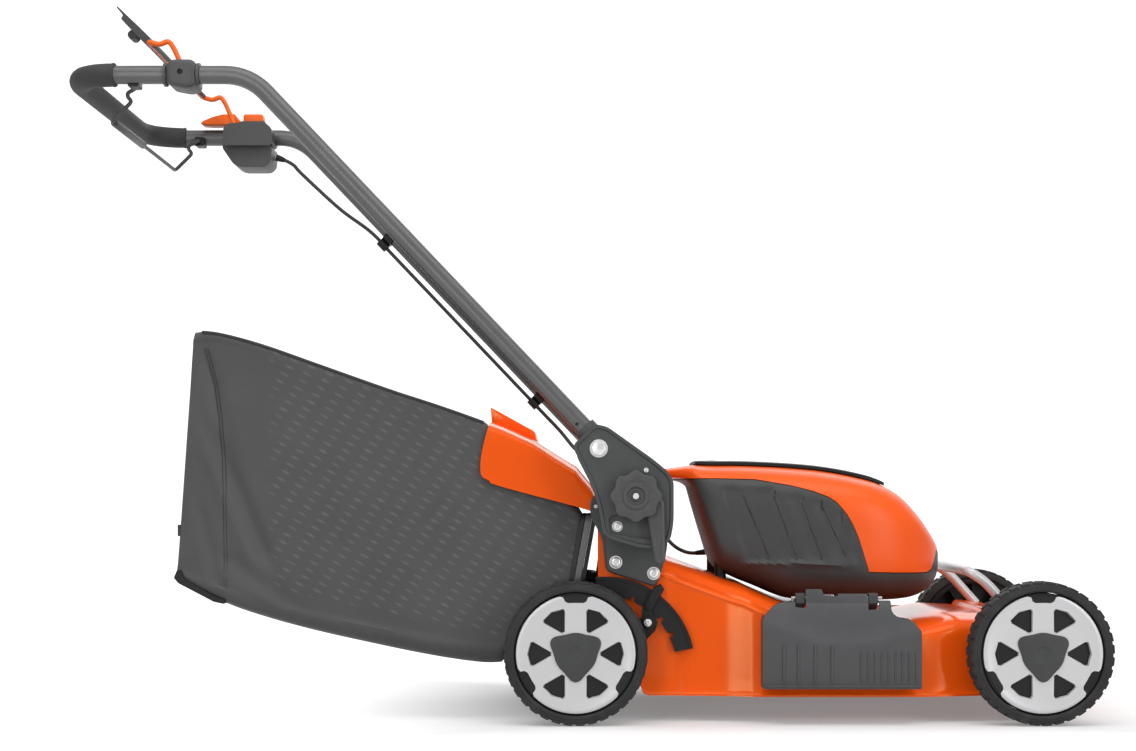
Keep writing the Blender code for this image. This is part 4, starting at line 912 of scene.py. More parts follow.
lid_rows = []
for k, x in enumerate(even(*LID_X, 48)):
    narrowing = 0.01 * max(0.0, (k - 40) / 8) ** 2 + 0.006 * max(0.0, (6 - k) / 6) ** 2
    half = LID_HALF - narrowing
    across = [half * (2 * j / 24 - 1) for j in range(25)]
    above = []
    for y in across:
        inside = unit((0.8 * half - abs(y)) / 0.006) * unit((x - 0.2) / 0.006)
        inside *= unit((0.44 - x) / 0.006)
        above.append((x, y, hull_top(x, y) + 0.0068 - 0.0014 * inside))
    under = [(x, y, hull_top(x, y) + 0.0012) for y in reversed(across)]
    lid_rows.append(above + under)
lid = loft(lid_rows, cap_first=True, cap_last=True)
piece("lid_shown", lid, black_plastic, "lid", ("battery_lid",), bevel=0.0014, segments=3,
      smooth=50)

# Battery packs: two black moulded blocks side by side in the well, each with a grip recess, a seam
# round its middle and a row of generic charge lights, between ribs on the well's walls.
for side, sign in SIDES:
    low, high = span((0.006, 0.082), sign)
    pack = block((0.204, 0.428), (low, high), (0.262, 0.34))
    soften(pack, 0.006, 3)
    grip = block((0.24, 0.3), (low + 0.016, high - 0.016), (0.332, 0.35))
    soften(grip, 0.004, 2)
    pack = combine(pack, grip)
    groove = combine(block((0.2, 0.432), (low - 0.004, high + 0.004), (0.309, 0.3105)),
                     block((0.2055, 0.4265), (low + 0.0015, high - 0.0015), (0.3, 0.32)))
    pack = combine(pack, groove)
    piece(f"battery_{side}", pack, dark_plastic, "chassis", (f"battery_pack_{side}",),
          bevel=0.0006)
    lights = merged(*[block((0.33 + 0.008 * k, 0.334 + 0.008 * k), (low + 0.03, high - 0.03),
                            (0.3396, 0.3404)) for k in range(4)])
    piece(f"battery_lights_{side}", lights, silver, "chassis", bevel=0.0002)
    rails = [block((0.205, 0.427), span((0.0835, 0.0868), sign), (0.296 + 0.012 * k, 0.299 + 0.012 * k))
             for k in range(3)]
    piece(f"well_rails_{side}", merged(*rails), black_plastic, "chassis", bevel=0.0004)

# Motor: a turned steel can with cooling fins, bolted to the deck round the blade's shaft.
can = turned((
    (0.03, 0.199), (0.06, 0.199), (0.064, 0.203), (0.064, 0.208), (0.061, 0.2095), (0.061, 0.212),
    (0.064, 0.2135), (0.064, 0.22), (0.061, 0.2215), (0.061, 0.224), (0.064, 0.2255), (0.064, 0.232),
    (0.061, 0.2335), (0.061, 0.236), (0.064, 0.2375), (0.064, 0.246), (0.056, 0.254), (0.03, 0.254),
), 64, centre=(MOTOR_X, 0, 0), axis=(0, 0, 1))
piece("motor_can", can, steel, "chassis", ("motor_stator",), bevel=0.0006, smooth=30)

# Front carry handle: a bent tube bow, silver painted, that rises from two feet on the nose and passes
# before the motor.
def bend(points, reach, steps=8):
    """Rounds each inner corner of a route, from one reach before it to one reach after it."""
    corners = [Vector(point) for point in points]
    route = [corners[0]]
    for before, corner, after in zip(corners, corners[1:], corners[2:]):
        size = min(reach, 0.49 * (corner - before).length, 0.49 * (after - corner).length)
        start = corner + (before - corner).normalized() * size
        end = corner + (after - corner).normalized() * size
        for t in even(0, 1, steps):
            route.append(start * (1 - t) ** 2 + corner * 2 * t * (1 - t) + end * t * t)
    route.append(corners[-1])
    return route


bow = [(0.65, -0.145, 0.156), (0.606, -0.145, 0.205), (0.581, -0.145, 0.2206)]
bow += [(x, -y, z) for x, y, z in reversed(bow)]
piece("carry_bow", wire(bend(bow, 0.024), 0.0075, 24), silver, "chassis", ("front_carry_handle",),
      smooth=50)
feet = merged(*[
    turned(((0.0085, 0.0), (0.015, 0.0), (0.015, 0.002), (0.0095, 0.0045), (0.0085, 0.0045)), 32,
           centre=(0.651, s * 0.145, 0.15), axis=(0, 0, 1))
    for _, s in SIDES
])
piece("bow_feet", feet, silver, "chassis", bevel=0.0005)

# Handle brackets: on each side a pressed plate is bolted to the deck, and a moulded upper bracket
# clamps the handle's foot and turns on the plate. Outlines are (x, z).
UPPER_BRACKET = (
    (0.027, 0.2745), (0.0225, 0.31), (0.011, 0.35), (-0.008, 0.387), (-0.018, 0.407),
    (0.011, 0.434), (0.017, 0.438), (0.033, 0.435), (0.102, 0.386), (0.123, 0.368),
    (0.13, 0.355), (0.13, 0.294), (0.124, 0.264), (0.09, 0.256),
)
UPPER_Y = (0.2235, 0.2635)
HANDLE_PIVOT = (0.0747, 0.3334)
CAM_PIVOT = (0.1025, 0.3208)
TUBE_Y = 0.245
FOOT = Vector((0.034, 0.0, 0.3982))
LEG_BEND = Vector((-0.4908, 0.0, 0.95))
ALONG_LEG = (LEG_BEND - FOOT).normalized()
TUBE_CHANNEL = 0.0141


def rounded(outline, radius, steps=5):
    """A flat outline with its corners rounded off."""
    count = len(outline)
    points = []
    for k in range(count):
        before, corner, after = (Vector(outline[(k + j) % count]) for j in (-1, 0, 1))
        reach = min(radius, 0.45 * (corner - before).length, 0.45 * (after - corner).length)
        start = corner + (before - corner).normalized() * reach
        end = corner + (after - corner).normalized() * reach
        for t in even(0, 1, steps):
            points.append(tuple(start * (1 - t) ** 2 + corner * 2 * t * (1 - t) + end * t * t))
    return points


def outer_face(shape, axis, value):
    """The biggest face that lies flat at value along an axis."""
    flat = [f for f in shape.faces if all(abs(v.co[axis] - value) < 1e-5 for v in f.verts)]
    return max(flat, key=lambda f: f.calc_area())


def screw(x, z, face_y, sign, radius, height, hexagon=False):
    """A round flange head on a washer, with a socket, or a hexagon head."""
    washer = turned(((0.0005, 0.0), (radius * 1.18, 0.0), (radius * 1.18, 0.001), (0.0005, 0.001)), 40)
    if hexagon:
        head = plate(arc((0, 0), radius, 10, 60, 6), 0.0008, height, rounding=0.0008)
    else:
        head = turned((
            (0.0, 0.0008), (radius, 0.0008), (radius, 0.0016), (radius * 0.82, height * 0.8),
            (radius * 0.55, height), (radius * 0.42, height), (radius * 0.4, height * 0.5),
            (0.0, height * 0.5),
        ), 40)
    return moved(along_y(merged(washer, head), sign), x, face_y, z)


bracket_paint = mottled(
    "bracket_paint", (0.045, 0.046, 0.048), (0.046, 0.048, 0.049), (0.06, 0.062, 0.063),
    40.0, (1100.0, 0.00006), roughness=0.52,
)
zinc = mottled(
    "zinc", (0.8, 0.8, 0.81), (0.66, 0.66, 0.67), (0.88, 0.88, 0.89),
    300.0, roughness=0.3, metallic=0.55,
)
RECESS = rounded(((0.037, 0.279), (0.035, 0.304), (0.05, 0.3085), (0.099, 0.3), (0.101, 0.269),
                  (0.062, 0.275)), 0.006)
for side, sign in SIDES:
    shape = plate(rounded(UPPER_BRACKET, 0.016, 6), *span(UPPER_Y, sign))
    face = outer_face(shape, 1, sign * UPPER_Y[1])
    for thickness, depth in ((0.0045, 0.0), (0.0016, -0.0022)):
        bmesh.ops.inset_region(shape, faces=[face], thickness=thickness, depth=depth)
    beside = Vector((0, sign * TUBE_Y, 0))
    shape = combine(shape, wire([FOOT + beside - ALONG_LEG * 0.0005, FOOT + beside + ALONG_LEG * 0.2],
                                TUBE_CHANNEL, 32))
    shape = combine(shape, plate(RECESS, *span((0.256, 0.27), sign)))
    boss = plate(arc(HANDLE_PIVOT, 0.03, 0, 7.5, 48), *span((0.26, 0.264), sign), rounding=0.0012)
    collar = wire([FOOT + beside + ALONG_LEG * 0.004, FOOT + beside + ALONG_LEG * 0.05], 0.0172, 40)
    collar = combine(collar, wire([FOOT + beside - ALONG_LEG * 0.1, FOOT + beside + ALONG_LEG * 0.2],
                                  TUBE_CHANNEL, 32))
    piece(f"handle_bracket_{side}", merged(shape, boss, collar), bracket_paint, "handle",
          (f"bracket_upper_{side}",), bevel=0.001, segments=2)
    face_y = sign * (UPPER_Y[1] - 0.0022)
    bolts = merged(
        screw(0.021, 0.403, face_y, sign, 0.0112, 0.0062, hexagon=True),
        screw(0.09, 0.3715, face_y, sign, 0.003, 0.0016),
        screw(0.048, 0.2895, sign * 0.256, sign, 0.0066, 0.0052),
    )
    piece(f"bracket_bolts_{side}", bolts, zinc, "handle", bevel=0.0003)

LOWER_PLATE = (
    (0.0315, 0.2225), (0.026, 0.273), (0.009, 0.302), (0.008, 0.327), (0.04, 0.364),
    (0.1, 0.362), (0.12, 0.33), (0.123, 0.262), (0.119, 0.239), (0.106, 0.199),
)
PLATE_Y = (0.2085, 0.2145)
FLAP_PIVOT = (0.0165, 0.3185)
cx, cz = REAR_CRANK
leg = ((0.06, 0.2), (cx + 0.02, cz - 0.012), (cx - 0.02, cz - 0.012), (0.0162, 0.2))
for side, sign in SIDES:
    outline = LOWER_PLATE if sign < 0 else LOWER_PLATE[1:] + leg
    shape = plate(rounded(outline, 0.009, 5), *span(PLATE_Y, sign))
    shape = combine(shape, merged(
        round_bar(0.0054, -0.3, 0.3, HANDLE_PIVOT), round_bar(0.0034, -0.3, 0.3, FLAP_PIVOT),
        round_bar(0.0074, -0.3, 0.3, REAR_CRANK),
    ))
    shield = plate(rounded(((0.0335, 0.2235), (0.03, 0.2745), (0.119, 0.27), (0.1215, 0.255), (0.118, 0.24),
                            (0.105, 0.201)), 0.006), *span((0.215, 0.22), sign))
    piece(f"bracket_plate_{side}_shown", merged(shape, shield), bracket_paint, "chassis",
          (f"bracket_plate_{side}",), bevel=0.0012, segments=2)
    bolts = merged(
        screw(0.0462, 0.2362, sign * 0.22, sign, 0.0082, 0.005),
        screw(0.102, 0.2196, sign * 0.22, sign, 0.0082, 0.005),
    )
    piece(f"plate_bolts_{side}", bolts, zinc, "chassis", bevel=0.0003)

# Pivot knobs: eight-lobed moulded nuts on the brackets' bolts, with a ring and a steel stud in the
# middle. Cam levers: tapered moulded levers that lock each bracket in place.
KNOB_Y = 0.2725
CAM_TIP = (0.1098, 0.242)
knob_grey = mottled(
    "knob_grey", (0.06, 0.061, 0.063), (0.053, 0.054, 0.056), (0.068, 0.069, 0.071),
    60.0, (1300.0, 0.00007), roughness=0.5,
)
KNOB_PROFILE = (
    (0.0054, 0.0, 0.0002), (0.0345, 0.0019, 0.0002), (0.0357, 0.0023, 0.0012), (0.0357, 0.0023, 0.0068),
    (0.035, 0.0021, 0.0084), (0.033, 0.0016, 0.0092), (0.024, 0.0004, 0.0094), (0.0225, 0.0, 0.0084),
    (0.0195, 0.0, 0.0082), (0.0185, 0.0, 0.0098), (0.015, 0.0, 0.0104), (0.0132, 0.0, 0.0098),
    (0.0122, 0.0, 0.007), (0.008, 0.0, 0.0066), (0.007, 0.0, 0.0088), (0.0056, 0.0, 0.009),
    (0.0054, 0.0, 0.008), (0.0054, 0.0, 0.0002),
)
for side, sign in SIDES:
    rings = []
    for radius, lobes, depth in KNOB_PROFILE:
        around = [(radius + lobes * math.cos(math.radians(8 * 3.75 * k)), 3.75 * k) for k in range(96)]
        rings.append([(x, depth, z) for x, z in (polar(r, a) for r, a in around)])
    star = welded(loft(rings))
    barrel = turned(((0.0054, -0.0078), (0.012, -0.0078), (0.014, 0.0005), (0.0054, 0.0005)), 48)
    x, z = HANDLE_PIVOT
    knob = moved(along_y(merged(star, barrel), sign), x, sign * KNOB_Y, z)
    piece(f"pivot_knob_{side}_shown", knob, knob_grey, f"knob_{side}",
          (f"pivot_knob_{side}",), bevel=0.0006)
    stud = turned(((0.0, 0.002), (0.0048, 0.002), (0.0048, 0.0088), (0.0036, 0.01), (0.0, 0.01)), 32)
    stud = moved(along_y(stud, sign), x, sign * KNOB_Y, z)
    piece(f"knob_stud_{side}", stud, zinc, f"knob_{side}", bevel=0.0004)

    heading = math.degrees(math.atan2(CAM_TIP[1] - CAM_PIVOT[1], CAM_TIP[0] - CAM_PIVOT[0]))
    outline = arc(CAM_TIP, 0.008, heading - 90, 15, 13) + arc(CAM_PIVOT, 0.0135, heading + 90, 15, 13)
    lever = plate(outline, *span((0.2645, 0.2705), sign))
    top = [outer_face(lever, 1, sign * 0.2705)]
    for thickness, depth in ((0.0016, 0.0012), (0.003, 0.0008), (0.001, -0.0008)):
        bmesh.ops.inset_region(lever, faces=top, thickness=thickness, depth=depth)
    pin = round_bar(0.004, *span((0.253, 0.2655), sign), CAM_PIVOT)
    piece(f"cam_lever_{side}_shown", merged(lever, pin), knob_grey, f"cam_{side}",
          (f"cam_lever_{side}",), bevel=0.0008)

# Height adjustment: a black toothed quadrant fixed to the right side, a sprung lever that locks in its
# notches, and two cranks across the mower that a flat steel rod turns together.
def refined(node):
    """A copy of a CAD node's shape with its triangles joined into flat faces."""
    shape = bmesh.new()
    shape.from_mesh(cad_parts[node].data)
    bmesh.ops.remove_doubles(shape, verts=shape.verts, dist=1e-5)
    bmesh.ops.dissolve_limit(shape, angle_limit=math.radians(1), verts=shape.verts, edges=shape.edges)
    return shape


quadrant = refined("height_quadrant")
rim = plate(arc(REAR_CRANK, 0.1335, 12, 3, 29) + arc(REAR_CRANK, 0.129, 96, -3, 29), -0.2144, -0.212)
piece("quadrant_shown", merged(quadrant, rim), black_plastic, "chassis",
      ("height_quadrant",), bevel=0.0007)
lever = refined("height_lever")
sleeve = plate(rounded(((0.0975, 0.164), (0.117, 0.196), (0.113, 0.2035), (0.105, 0.2), (0.0865, 0.1665)),
                       0.004), -0.2206, -0.215, rounding=0.0014)
hub = turned(((0.0, 0.0), (0.009, 0.0), (0.009, 0.004), (0.006, 0.0052), (0.0, 0.0052)), 40)
hub = moved(along_y(hub, -1), 0.0935, -0.218, 0.147)
piece("height_lever_shown", merged(lever, sleeve, hub), black_plastic, "rear_crank_group",
      ("height_lever",), bevel=0.0008)
piece("lever_bolt", screw(0.0935, 0.147, -0.223, -1, 0.0048, 0.003), zinc, "rear_crank_group",
      bevel=0.0003)
piece("rear_crank_shown", refined("rear_crank"), dark_paint, "rear_crank_group",
      ("rear_crank",), bevel=0.0008)
piece("front_crank_shown", refined("front_crank"), dark_paint, "front_crank_group",
      ("front_crank",), bevel=0.0008)
piece("link_rod_shown", refined("height_link_rod"), steel, "link", ("height_link_rod",),
      bevel=0.0006)

# Drive: a moulded gearbox with its small motor rides on the rear cranks and turns the rear wheels.
gearbox = refined("drive_gearbox")
fins = []
for y in (-0.058, -0.04, -0.022, -0.004, 0.014, 0.032, 0.0555):
    fin = ((0.029, y), (0.0322, y), (0.0322, y + 0.0022), (0.029, y + 0.0022))
    fins.append(turned(fin, 48, centre=(REAR_AXLE_X, 0, AXLE_Z)))
piece("gearbox_shown", merged(gearbox, *fins), dark_plastic, "rear_crank_group",
      ("drive_gearbox",), bevel=0.0008)

# Blade group: a turned steel shaft with its flange, the ground and painted blade with upturned wings,
# and the hexagon bolt that holds it.
piece("blade_shaft_shown", turned((
    (0.0056, 0.06), (0.03, 0.06), (0.03, 0.068), (0.018, 0.07), (0.0125, 0.072), (0.0125, 0.252),
    (0.0056, 0.252),
), 48, centre=(MOTOR_X, 0, 0), axis=(0, 0, 1)), steel, "blade_group", ("blade_shaft",), bevel=0.0006)
piece("blade_shown", refined("blade"), steel, "blade_group", ("blade",), bevel=0.0008)
piece("blade_bolt_shown", refined("blade_bolt"), zinc, "blade_group", ("blade_bolt",), bevel=0.0006)

# Handle: one bent steel tube, painted dark grey, that rises from both brackets, levels off and runs
# round the back. A foam grip is slid over the back of it. A small black plug closes a hole in each leg.
GRIP_Z = 0.95
GRIP_X = -0.7525
GRIP_START = -0.686
GRIP_REACH = 0.077
TUBE_RADIUS = 0.0135
tube_paint = mottled(
    "tube_paint", (0.1, 0.101, 0.103), (0.09, 0.091, 0.093), (0.112, 0.113, 0.115),
    30.0, roughness=0.36, metallic=0.25, coat_weight=0.25, coat_roughness=0.4,
)
tube_paint.set(roughness=tube_paint.noise(14.0, 4.0) * 0.05 + 0.335)
level = [(LEG_BEND.x, -TUBE_Y, GRIP_Z), (-0.6, -TUBE_Y, GRIP_Z)]
right_leg = bend([(FOOT.x, -TUBE_Y, FOOT.z)] + level, 0.036, 10)
back = bend([level[1], (GRIP_X, -TUBE_Y, GRIP_Z), (GRIP_X, TUBE_Y, GRIP_Z), (-0.6, TUBE_Y, GRIP_Z)],
            GRIP_REACH, 20)
left_leg = [(x, -y, z) for x, y, z in reversed(right_leg)]
handle = wire(list(right_leg[:-1]) + list(back) + list(left_leg[1:]), TUBE_RADIUS, 32)
piece("handle_tube_shown", handle, tube_paint, "handle", ("handle_tube",), smooth=50)
plugs = merged(*[round_bar(0.0024, *span((0.2572, 0.259), sign), (-0.0107, 0.4387)) for _, sign in SIDES])
piece("tube_plugs", plugs, black_plastic, "handle", bevel=0.0003)

foam = mottled(
    "foam", (0.06, 0.06, 0.061), (0.036, 0.036, 0.037), (0.05, 0.05, 0.051),
    220.0, roughness=0.72,
)
foam.bump(foam.noise(1800.0, 2.0), 0.0001)
route, radii = [], []
for x, radius in ((GRIP_START, 0.015), (GRIP_START - 0.0008, 0.0174), (GRIP_START - 0.003, 0.0178),
                  (GRIP_START - 0.0048, 0.0168)):
    ahead = next(k for k in range(len(back)) if back[k][0] < x)
    share = (back[ahead - 1][0] - x) / (back[ahead - 1][0] - back[ahead][0])
    route.append(Vector(back[ahead - 1]).lerp(Vector(back[ahead]), share))
    radii.append(radius)
ends = list(reversed([(place.x, -place.y, place.z) for place in route]))
middle = [place for place in back if place[0] < GRIP_START - 0.006]
route = route + middle + ends
radii = radii + [0.017] * len(middle) + list(reversed(radii))
piece("grip_shown", wire(route, 1.0, 32, radii=radii), foam, "handle", ("handle_grip",), smooth=50)

# Bail clamp: a grey moulded block round the right tube, in which the motor bail turns. It has a band
# at each end and a deep screw hole, with a thin black disc at its bottom that is painted shade.
housing_grey = mottled(
    "housing_grey", (0.088, 0.089, 0.091), (0.055, 0.056, 0.057), (0.069, 0.07, 0.071),
    50.0, (1300.0, 0.00006), roughness=0.5,
)
BAIL_PIVOT = (-0.595, 0.958)
FITTING_Y = (0.2045, 0.2625)
CLAMP_OUTLINE = (
    (-0.612, 0.958), (-0.608, 0.933), (-0.579, 0.9275), (-0.566, 0.933), (-0.5645, 0.963),
    (-0.572, 0.9705), (-0.603, 0.9705),
)


def channel(sign, low_x, high_x):
    y = sign * TUBE_Y
    return wire([(low_x, y, GRIP_Z), (high_x, y, GRIP_Z)], TUBE_CHANNEL, 32)


clamp = plate(rounded(CLAMP_OUTLINE, 0.008), *span(FITTING_Y, -1), rounding=0.0075, segments=4)
clamp = combine(clamp, channel(-1, -0.7, -0.5))
clamp = combine(clamp, round_bar(0.0044, -0.2225, -0.1, BAIL_PIVOT))
clamp = combine(clamp, round_bar(0.0042, -0.27, -0.259, (-0.5885, 0.9515)))
bands = [wire([(x, -TUBE_Y, GRIP_Z), (x + 0.004, -TUBE_Y, GRIP_Z)], 0.0172, 48) for x in (-0.6145, -0.566)]
bands = combine(merged(*bands), channel(-1, -0.7, -0.5))
piece("clamp_shown", merged(clamp, bands), housing_grey, "handle", ("bail_clamp",),
      bevel=0.0006)
# Painted shade: a thin black disc at the bottom of the screw hole darkens the hole.
piece("clamp_hole_shade", round_bar(0.0041, -0.2592, -0.2586, (-0.5885, 0.9515)), black_plastic, "handle")

# Control box: two moulded halves that meet on a level seam round the left tube. The upper one carries
# an orange speed lever and, in a raised collar, an orange start button, and a thin shroud on a foot
# beside it hides the end of the motor bail.
BOX_SEAM_Z = 0.933
BOX_LOWER = (
    (-0.617, BOX_SEAM_Z), (-0.6168, 0.925), (-0.599, 0.899), (-0.588, 0.8932), (-0.544, 0.8932),
    (-0.535, 0.902), (-0.5332, BOX_SEAM_Z),
)
BOX_UPPER = (
    (-0.617, BOX_SEAM_Z + 0.0008), (-0.533, BOX_SEAM_Z + 0.0008), (-0.5338, 0.959), (-0.543, 0.9678),
    (-0.607, 0.968), (-0.6155, 0.96),
)
BOX_Y = (0.2045, 0.2705)
for name, outline, node in (("box_lower", BOX_LOWER, "control_box"),
                            ("box_upper", BOX_UPPER, "control_box_cover")):
    shape = plate(rounded(outline, 0.009), *BOX_Y)
    seam = [e for e in shape.edges if all(abs(v.co.z - BOX_SEAM_Z) < 0.001 for v in e.verts)]
    soft = [e for e in shape.edges if e not in seam and e.calc_face_angle() > 0.8]
    bmesh.ops.bevel(shape, geom=soft, offset=0.006, segments=4, profile=0.5, affect="EDGES",
                    clamp_overlap=True, material=-1)
    if name == "box_upper":
        collar = block((-0.5905, -0.5475), (0.2215, 0.2585), (0.965, 0.9752))
        soften(collar, 0.003, 3)
        shape = combine(shape, collar, "UNION")
        shape = combine(shape, block((-0.5866, -0.5514), (0.2254, 0.2546), (0.97, 0.99)))
        shape = combine(shape, round_bar(0.0044, 0.1, 0.2225, BAIL_PIVOT))
    shape = combine(shape, channel(1, -0.7, -0.45))
    if name == "box_upper":
        shroud = [(x + 0.0028, z - (0.0065 if z < 0.94 else 0.003)) for x, z in outline]
        shroud = plate(rounded(shroud, 0.009), 0.1885, 0.191)
        foot = block((-0.611, -0.536), (0.1898, 0.206), (BOX_SEAM_Z + 0.0008, BOX_SEAM_Z + 0.0038))
        shape = merged(shape, shroud, foot)
    piece(name, shape, housing_grey, "handle", (node,), bevel=0.0008, segments=2)
# Painted shade: a black strip inside the gap between the two halves makes the seam read as a dark line.
piece("box_seam_shade", block((-0.615, -0.535), (0.2065, 0.23), (BOX_SEAM_Z - 0.001, BOX_SEAM_Z + 0.0018)),
      black_plastic, "handle")

signal_orange = mottled(
    "signal_orange", (1.0, 0.15, 0.012), (0.97, 0.142, 0.01), (1.0, 0.16, 0.014),
    60.0, roughness=0.4, specular_ior_level=0.3,
)
SPEED_PIVOT = (-0.597, 0.9745)
outline = [(-0.6568, 0.97), (-0.6585, 0.9722), (-0.653, 0.9762), (-0.64, 0.9818), (-0.622, 0.9868),
           (-0.6, 0.9875)]
outline += arc(SPEED_PIVOT, 0.0056, 60, -15, 11)
outline += [(-0.615, 0.9692), (-0.64, 0.9688)]
lever = plate(outline, 0.224, 0.256, rounding=0.0022, segments=3)
piece("speed_lever_shown", lever, signal_orange, "speed_control", ("speed_lever",), smooth=45)
button = block((-0.586, -0.552), (0.226, 0.254), (0.9722, 0.988))
soften(button, 0.0042, 4)
dish = turned(((0.0, 0.9868), (0.01, 0.9874), (0.0122, 0.989), (0.0, 0.989)), 40, centre=(-0.569, 0.24, 0),
              axis=(0, 0, 1))
piece("start_button_shown", combine(button, dish), signal_orange, "start_control",
      ("start_button",), smooth=45)

# Motor bail: an orange wire hoop that turns in the clamp and the control box. Its crossbar carries a
# moulded paddle that leans back, with ribs behind it and a round stop.
BAIL_LEG = ((-0.5994, 0.974), (-0.611, 1.0004), (-0.619, 1.012), (-0.6315, 1.005), (-0.649, 1.01))


def bail(pivot, outer_y, inner_y, leg, reach, radius):
    """A wire hoop from its pivot on the right, along both legs' outlines, to its pivot on the left."""
    side = [(pivot[0], outer_y, pivot[1]), (pivot[0], inner_y, pivot[1])] + [(x, inner_y, z) for x, z in leg]
    return wire(bend([(x, -y, z) for x, y, z in side] + list(reversed(side)), reach, 6), radius)


motor_hoop = bail(BAIL_PIVOT, 0.2215, 0.198, BAIL_LEG, 0.008, 0.004)
piece("motor_bail_shown", motor_hoop, signal_orange, "motor_bail_group", ("motor_bail",),
      smooth=50)
bar = Vector(BAIL_LEG[-1])
lean = Vector((-1, 1)).normalized()
normal = Vector((1, 1)).normalized()


def on_paddle(*places):
    """Points (x, z) on the leaning paddle, from distances up it and out of it."""
    return [tuple(bar + lean * up + normal * out) for up, out in places]


section = on_paddle(
    (-0.008, -0.0008), (-0.0085, 0.003), (-0.007, 0.0062), (0.03, 0.006), (0.0765, 0.0048), (0.0768, 0.0028),
    (0.061, 0.0012), (0.06, -0.0046), (0.052, -0.0052), (0.02, -0.006), (0.01, -0.0054), (0.0065, -0.0008),
)
paddle = plate(rounded(section, 0.002), -0.18, 0.18)
hollow = on_paddle((0.012, -0.008), (0.012, -0.0035), (0.058, -0.003), (0.058, -0.008))
paddle = combine(paddle, plate(rounded(hollow, 0.001), -0.13, 0.168))
rib = on_paddle((0.011, -0.0055), (0.011, -0.003), (0.059, -0.0025), (0.059, -0.005))
ribs = [plate(rib, y - 0.001, y + 0.001) for y in (-0.08, -0.03, 0.02, 0.07, 0.12)]
stop = round_bar(0.007, -0.165, -0.14, *on_paddle((0.036, -0.0095)))
web = on_paddle((0.029, -0.01), (0.03, -0.004), (0.044, -0.004), (0.043, -0.01))
web = plate(web, -0.16, -0.145)
piece("paddle_shown", merged(paddle, stop, web, *ribs), dark_plastic, "motor_bail_group",
      ("bail_paddle",), bevel=0.001)

# Drive bail: a thinner grey wire hoop under the grip that turns in two black clips, with a lighter
# moulded sleeve over the near half of its crossbar.
DRIVE_BAIL_PIVOT = (-0.66, 0.94)
DRIVE_LEG = ((-0.676, 0.9305), (-0.6765, 0.925), (-0.67, 0.918), (-0.679, 0.9085), (-0.699, 0.889))
drive_hoop = bail(DRIVE_BAIL_PIVOT, 0.228, 0.213, DRIVE_LEG, 0.006, 0.003)
piece("drive_bail_shown", drive_hoop, bracket_paint, "drive_bail_group", ("drive_bail",),
      smooth=50)
x, z = DRIVE_LEG[-1]
sleeve = wire([(x, -0.202, z), (x, -0.199, z), (x, -0.02, z), (x, -0.017, z)], 1.0, 24,
              radii=[0.0044, 0.006, 0.006, 0.0044])
piece("drive_sleeve", sleeve, housing_grey, "drive_bail_group", smooth=50)
cx = DRIVE_BAIL_PIVOT[0]
for side, sign in SIDES:
    outline = rounded(((cx - 0.008, 0.9325), (cx + 0.008, 0.9325), (cx + 0.008, 0.948), (cx - 0.008, 0.948)),
                      0.003)
    clip = combine(plate(outline, *span((0.2225, 0.248), sign)), channel(sign, -0.7, -0.6))
    clip = combine(clip, round_bar(0.0034, *span((0.2, 0.2285), sign), DRIVE_BAIL_PIVOT))
    piece(f"bail_clip_{side}", clip, black_plastic, "handle", (f"drive_bail_clip_{side}",),
          bevel=0.0006)

# Control cable: a black sheathed cable that leaves the control box in a rubber boot and runs down under
# the left leg, held by two moulded clips. Its lower stretch runs from the bracket to a gland on the
# motor housing.
sheath = mottled(
    "sheath", (0.02, 0.02, 0.021), (0.017, 0.017, 0.018), (0.026, 0.026, 0.027),
    120.0, roughness=0.5,
)
CABLE_RADIUS = 0.0032
LEG_DROP = 0.0235
UNDER_LEG = Vector((-ALONG_LEG.z, 0, ALONG_LEG.x))


def under_leg(distance, below, y):
    place = FOOT + ALONG_LEG * distance + UNDER_LEG * below
    return (place.x, y, place.z)


def smooth_route(points):
    """A curve through all points, without corners."""
    spots = [Vector(p) for p in (points[0], *points, points[-1])]
    route = []
    for a, b, c, d in zip(spots, spots[1:], spots[2:], spots[3:]):
        for t in even(0, 1, 8)[:-1]:
            square, cube = a * 2 - b * 5 + c * 4 - d, b * 3 - a - c * 3 + d
            route.append(tuple((b * 2 + (c - a) * t + square * t ** 2 + cube * t ** 3) * 0.5))
    return route + [tuple(spots[-1])]


route = [(x, TUBE_Y, z) for x, z in ((-0.531, 0.916), (-0.518, 0.912), (-0.502, 0.903), (-0.487, 0.887),
                                     (-0.4228, 0.828))]
route += [under_leg(distance, LEG_DROP, TUBE_Y) for distance in (0.56, 0.5, 0.3, 0.18, 0.13, 0.09)]
route += [under_leg(0.058, 0.026, 0.229), (-0.012, 0.2188, 0.409), (0.011, 0.2186, 0.389)]
piece("cable_shown", wire(smooth_route(route), CABLE_RADIUS, 16), sheath, "handle",
      ("control_cable",), smooth=50)
boot = wire([(-0.532, TUBE_Y, 0.9163), (-0.525, TUBE_Y, 0.9142), (-0.518, TUBE_Y, 0.9118)], 1.0, 24,
            radii=[0.006, 0.0052, 0.004])
piece("cable_boot", boot, black_plastic, "handle", bevel=0.0006)
route = ((0.131, 0.2, 0.27), (0.15, 0.188, 0.25), (0.17, 0.18, 0.24), (0.188, 0.166, 0.239))
piece("lower_cable_shown", wire(smooth_route(route), CABLE_RADIUS, 16), sheath, "chassis",
      ("control_cable_lower",), smooth=50)
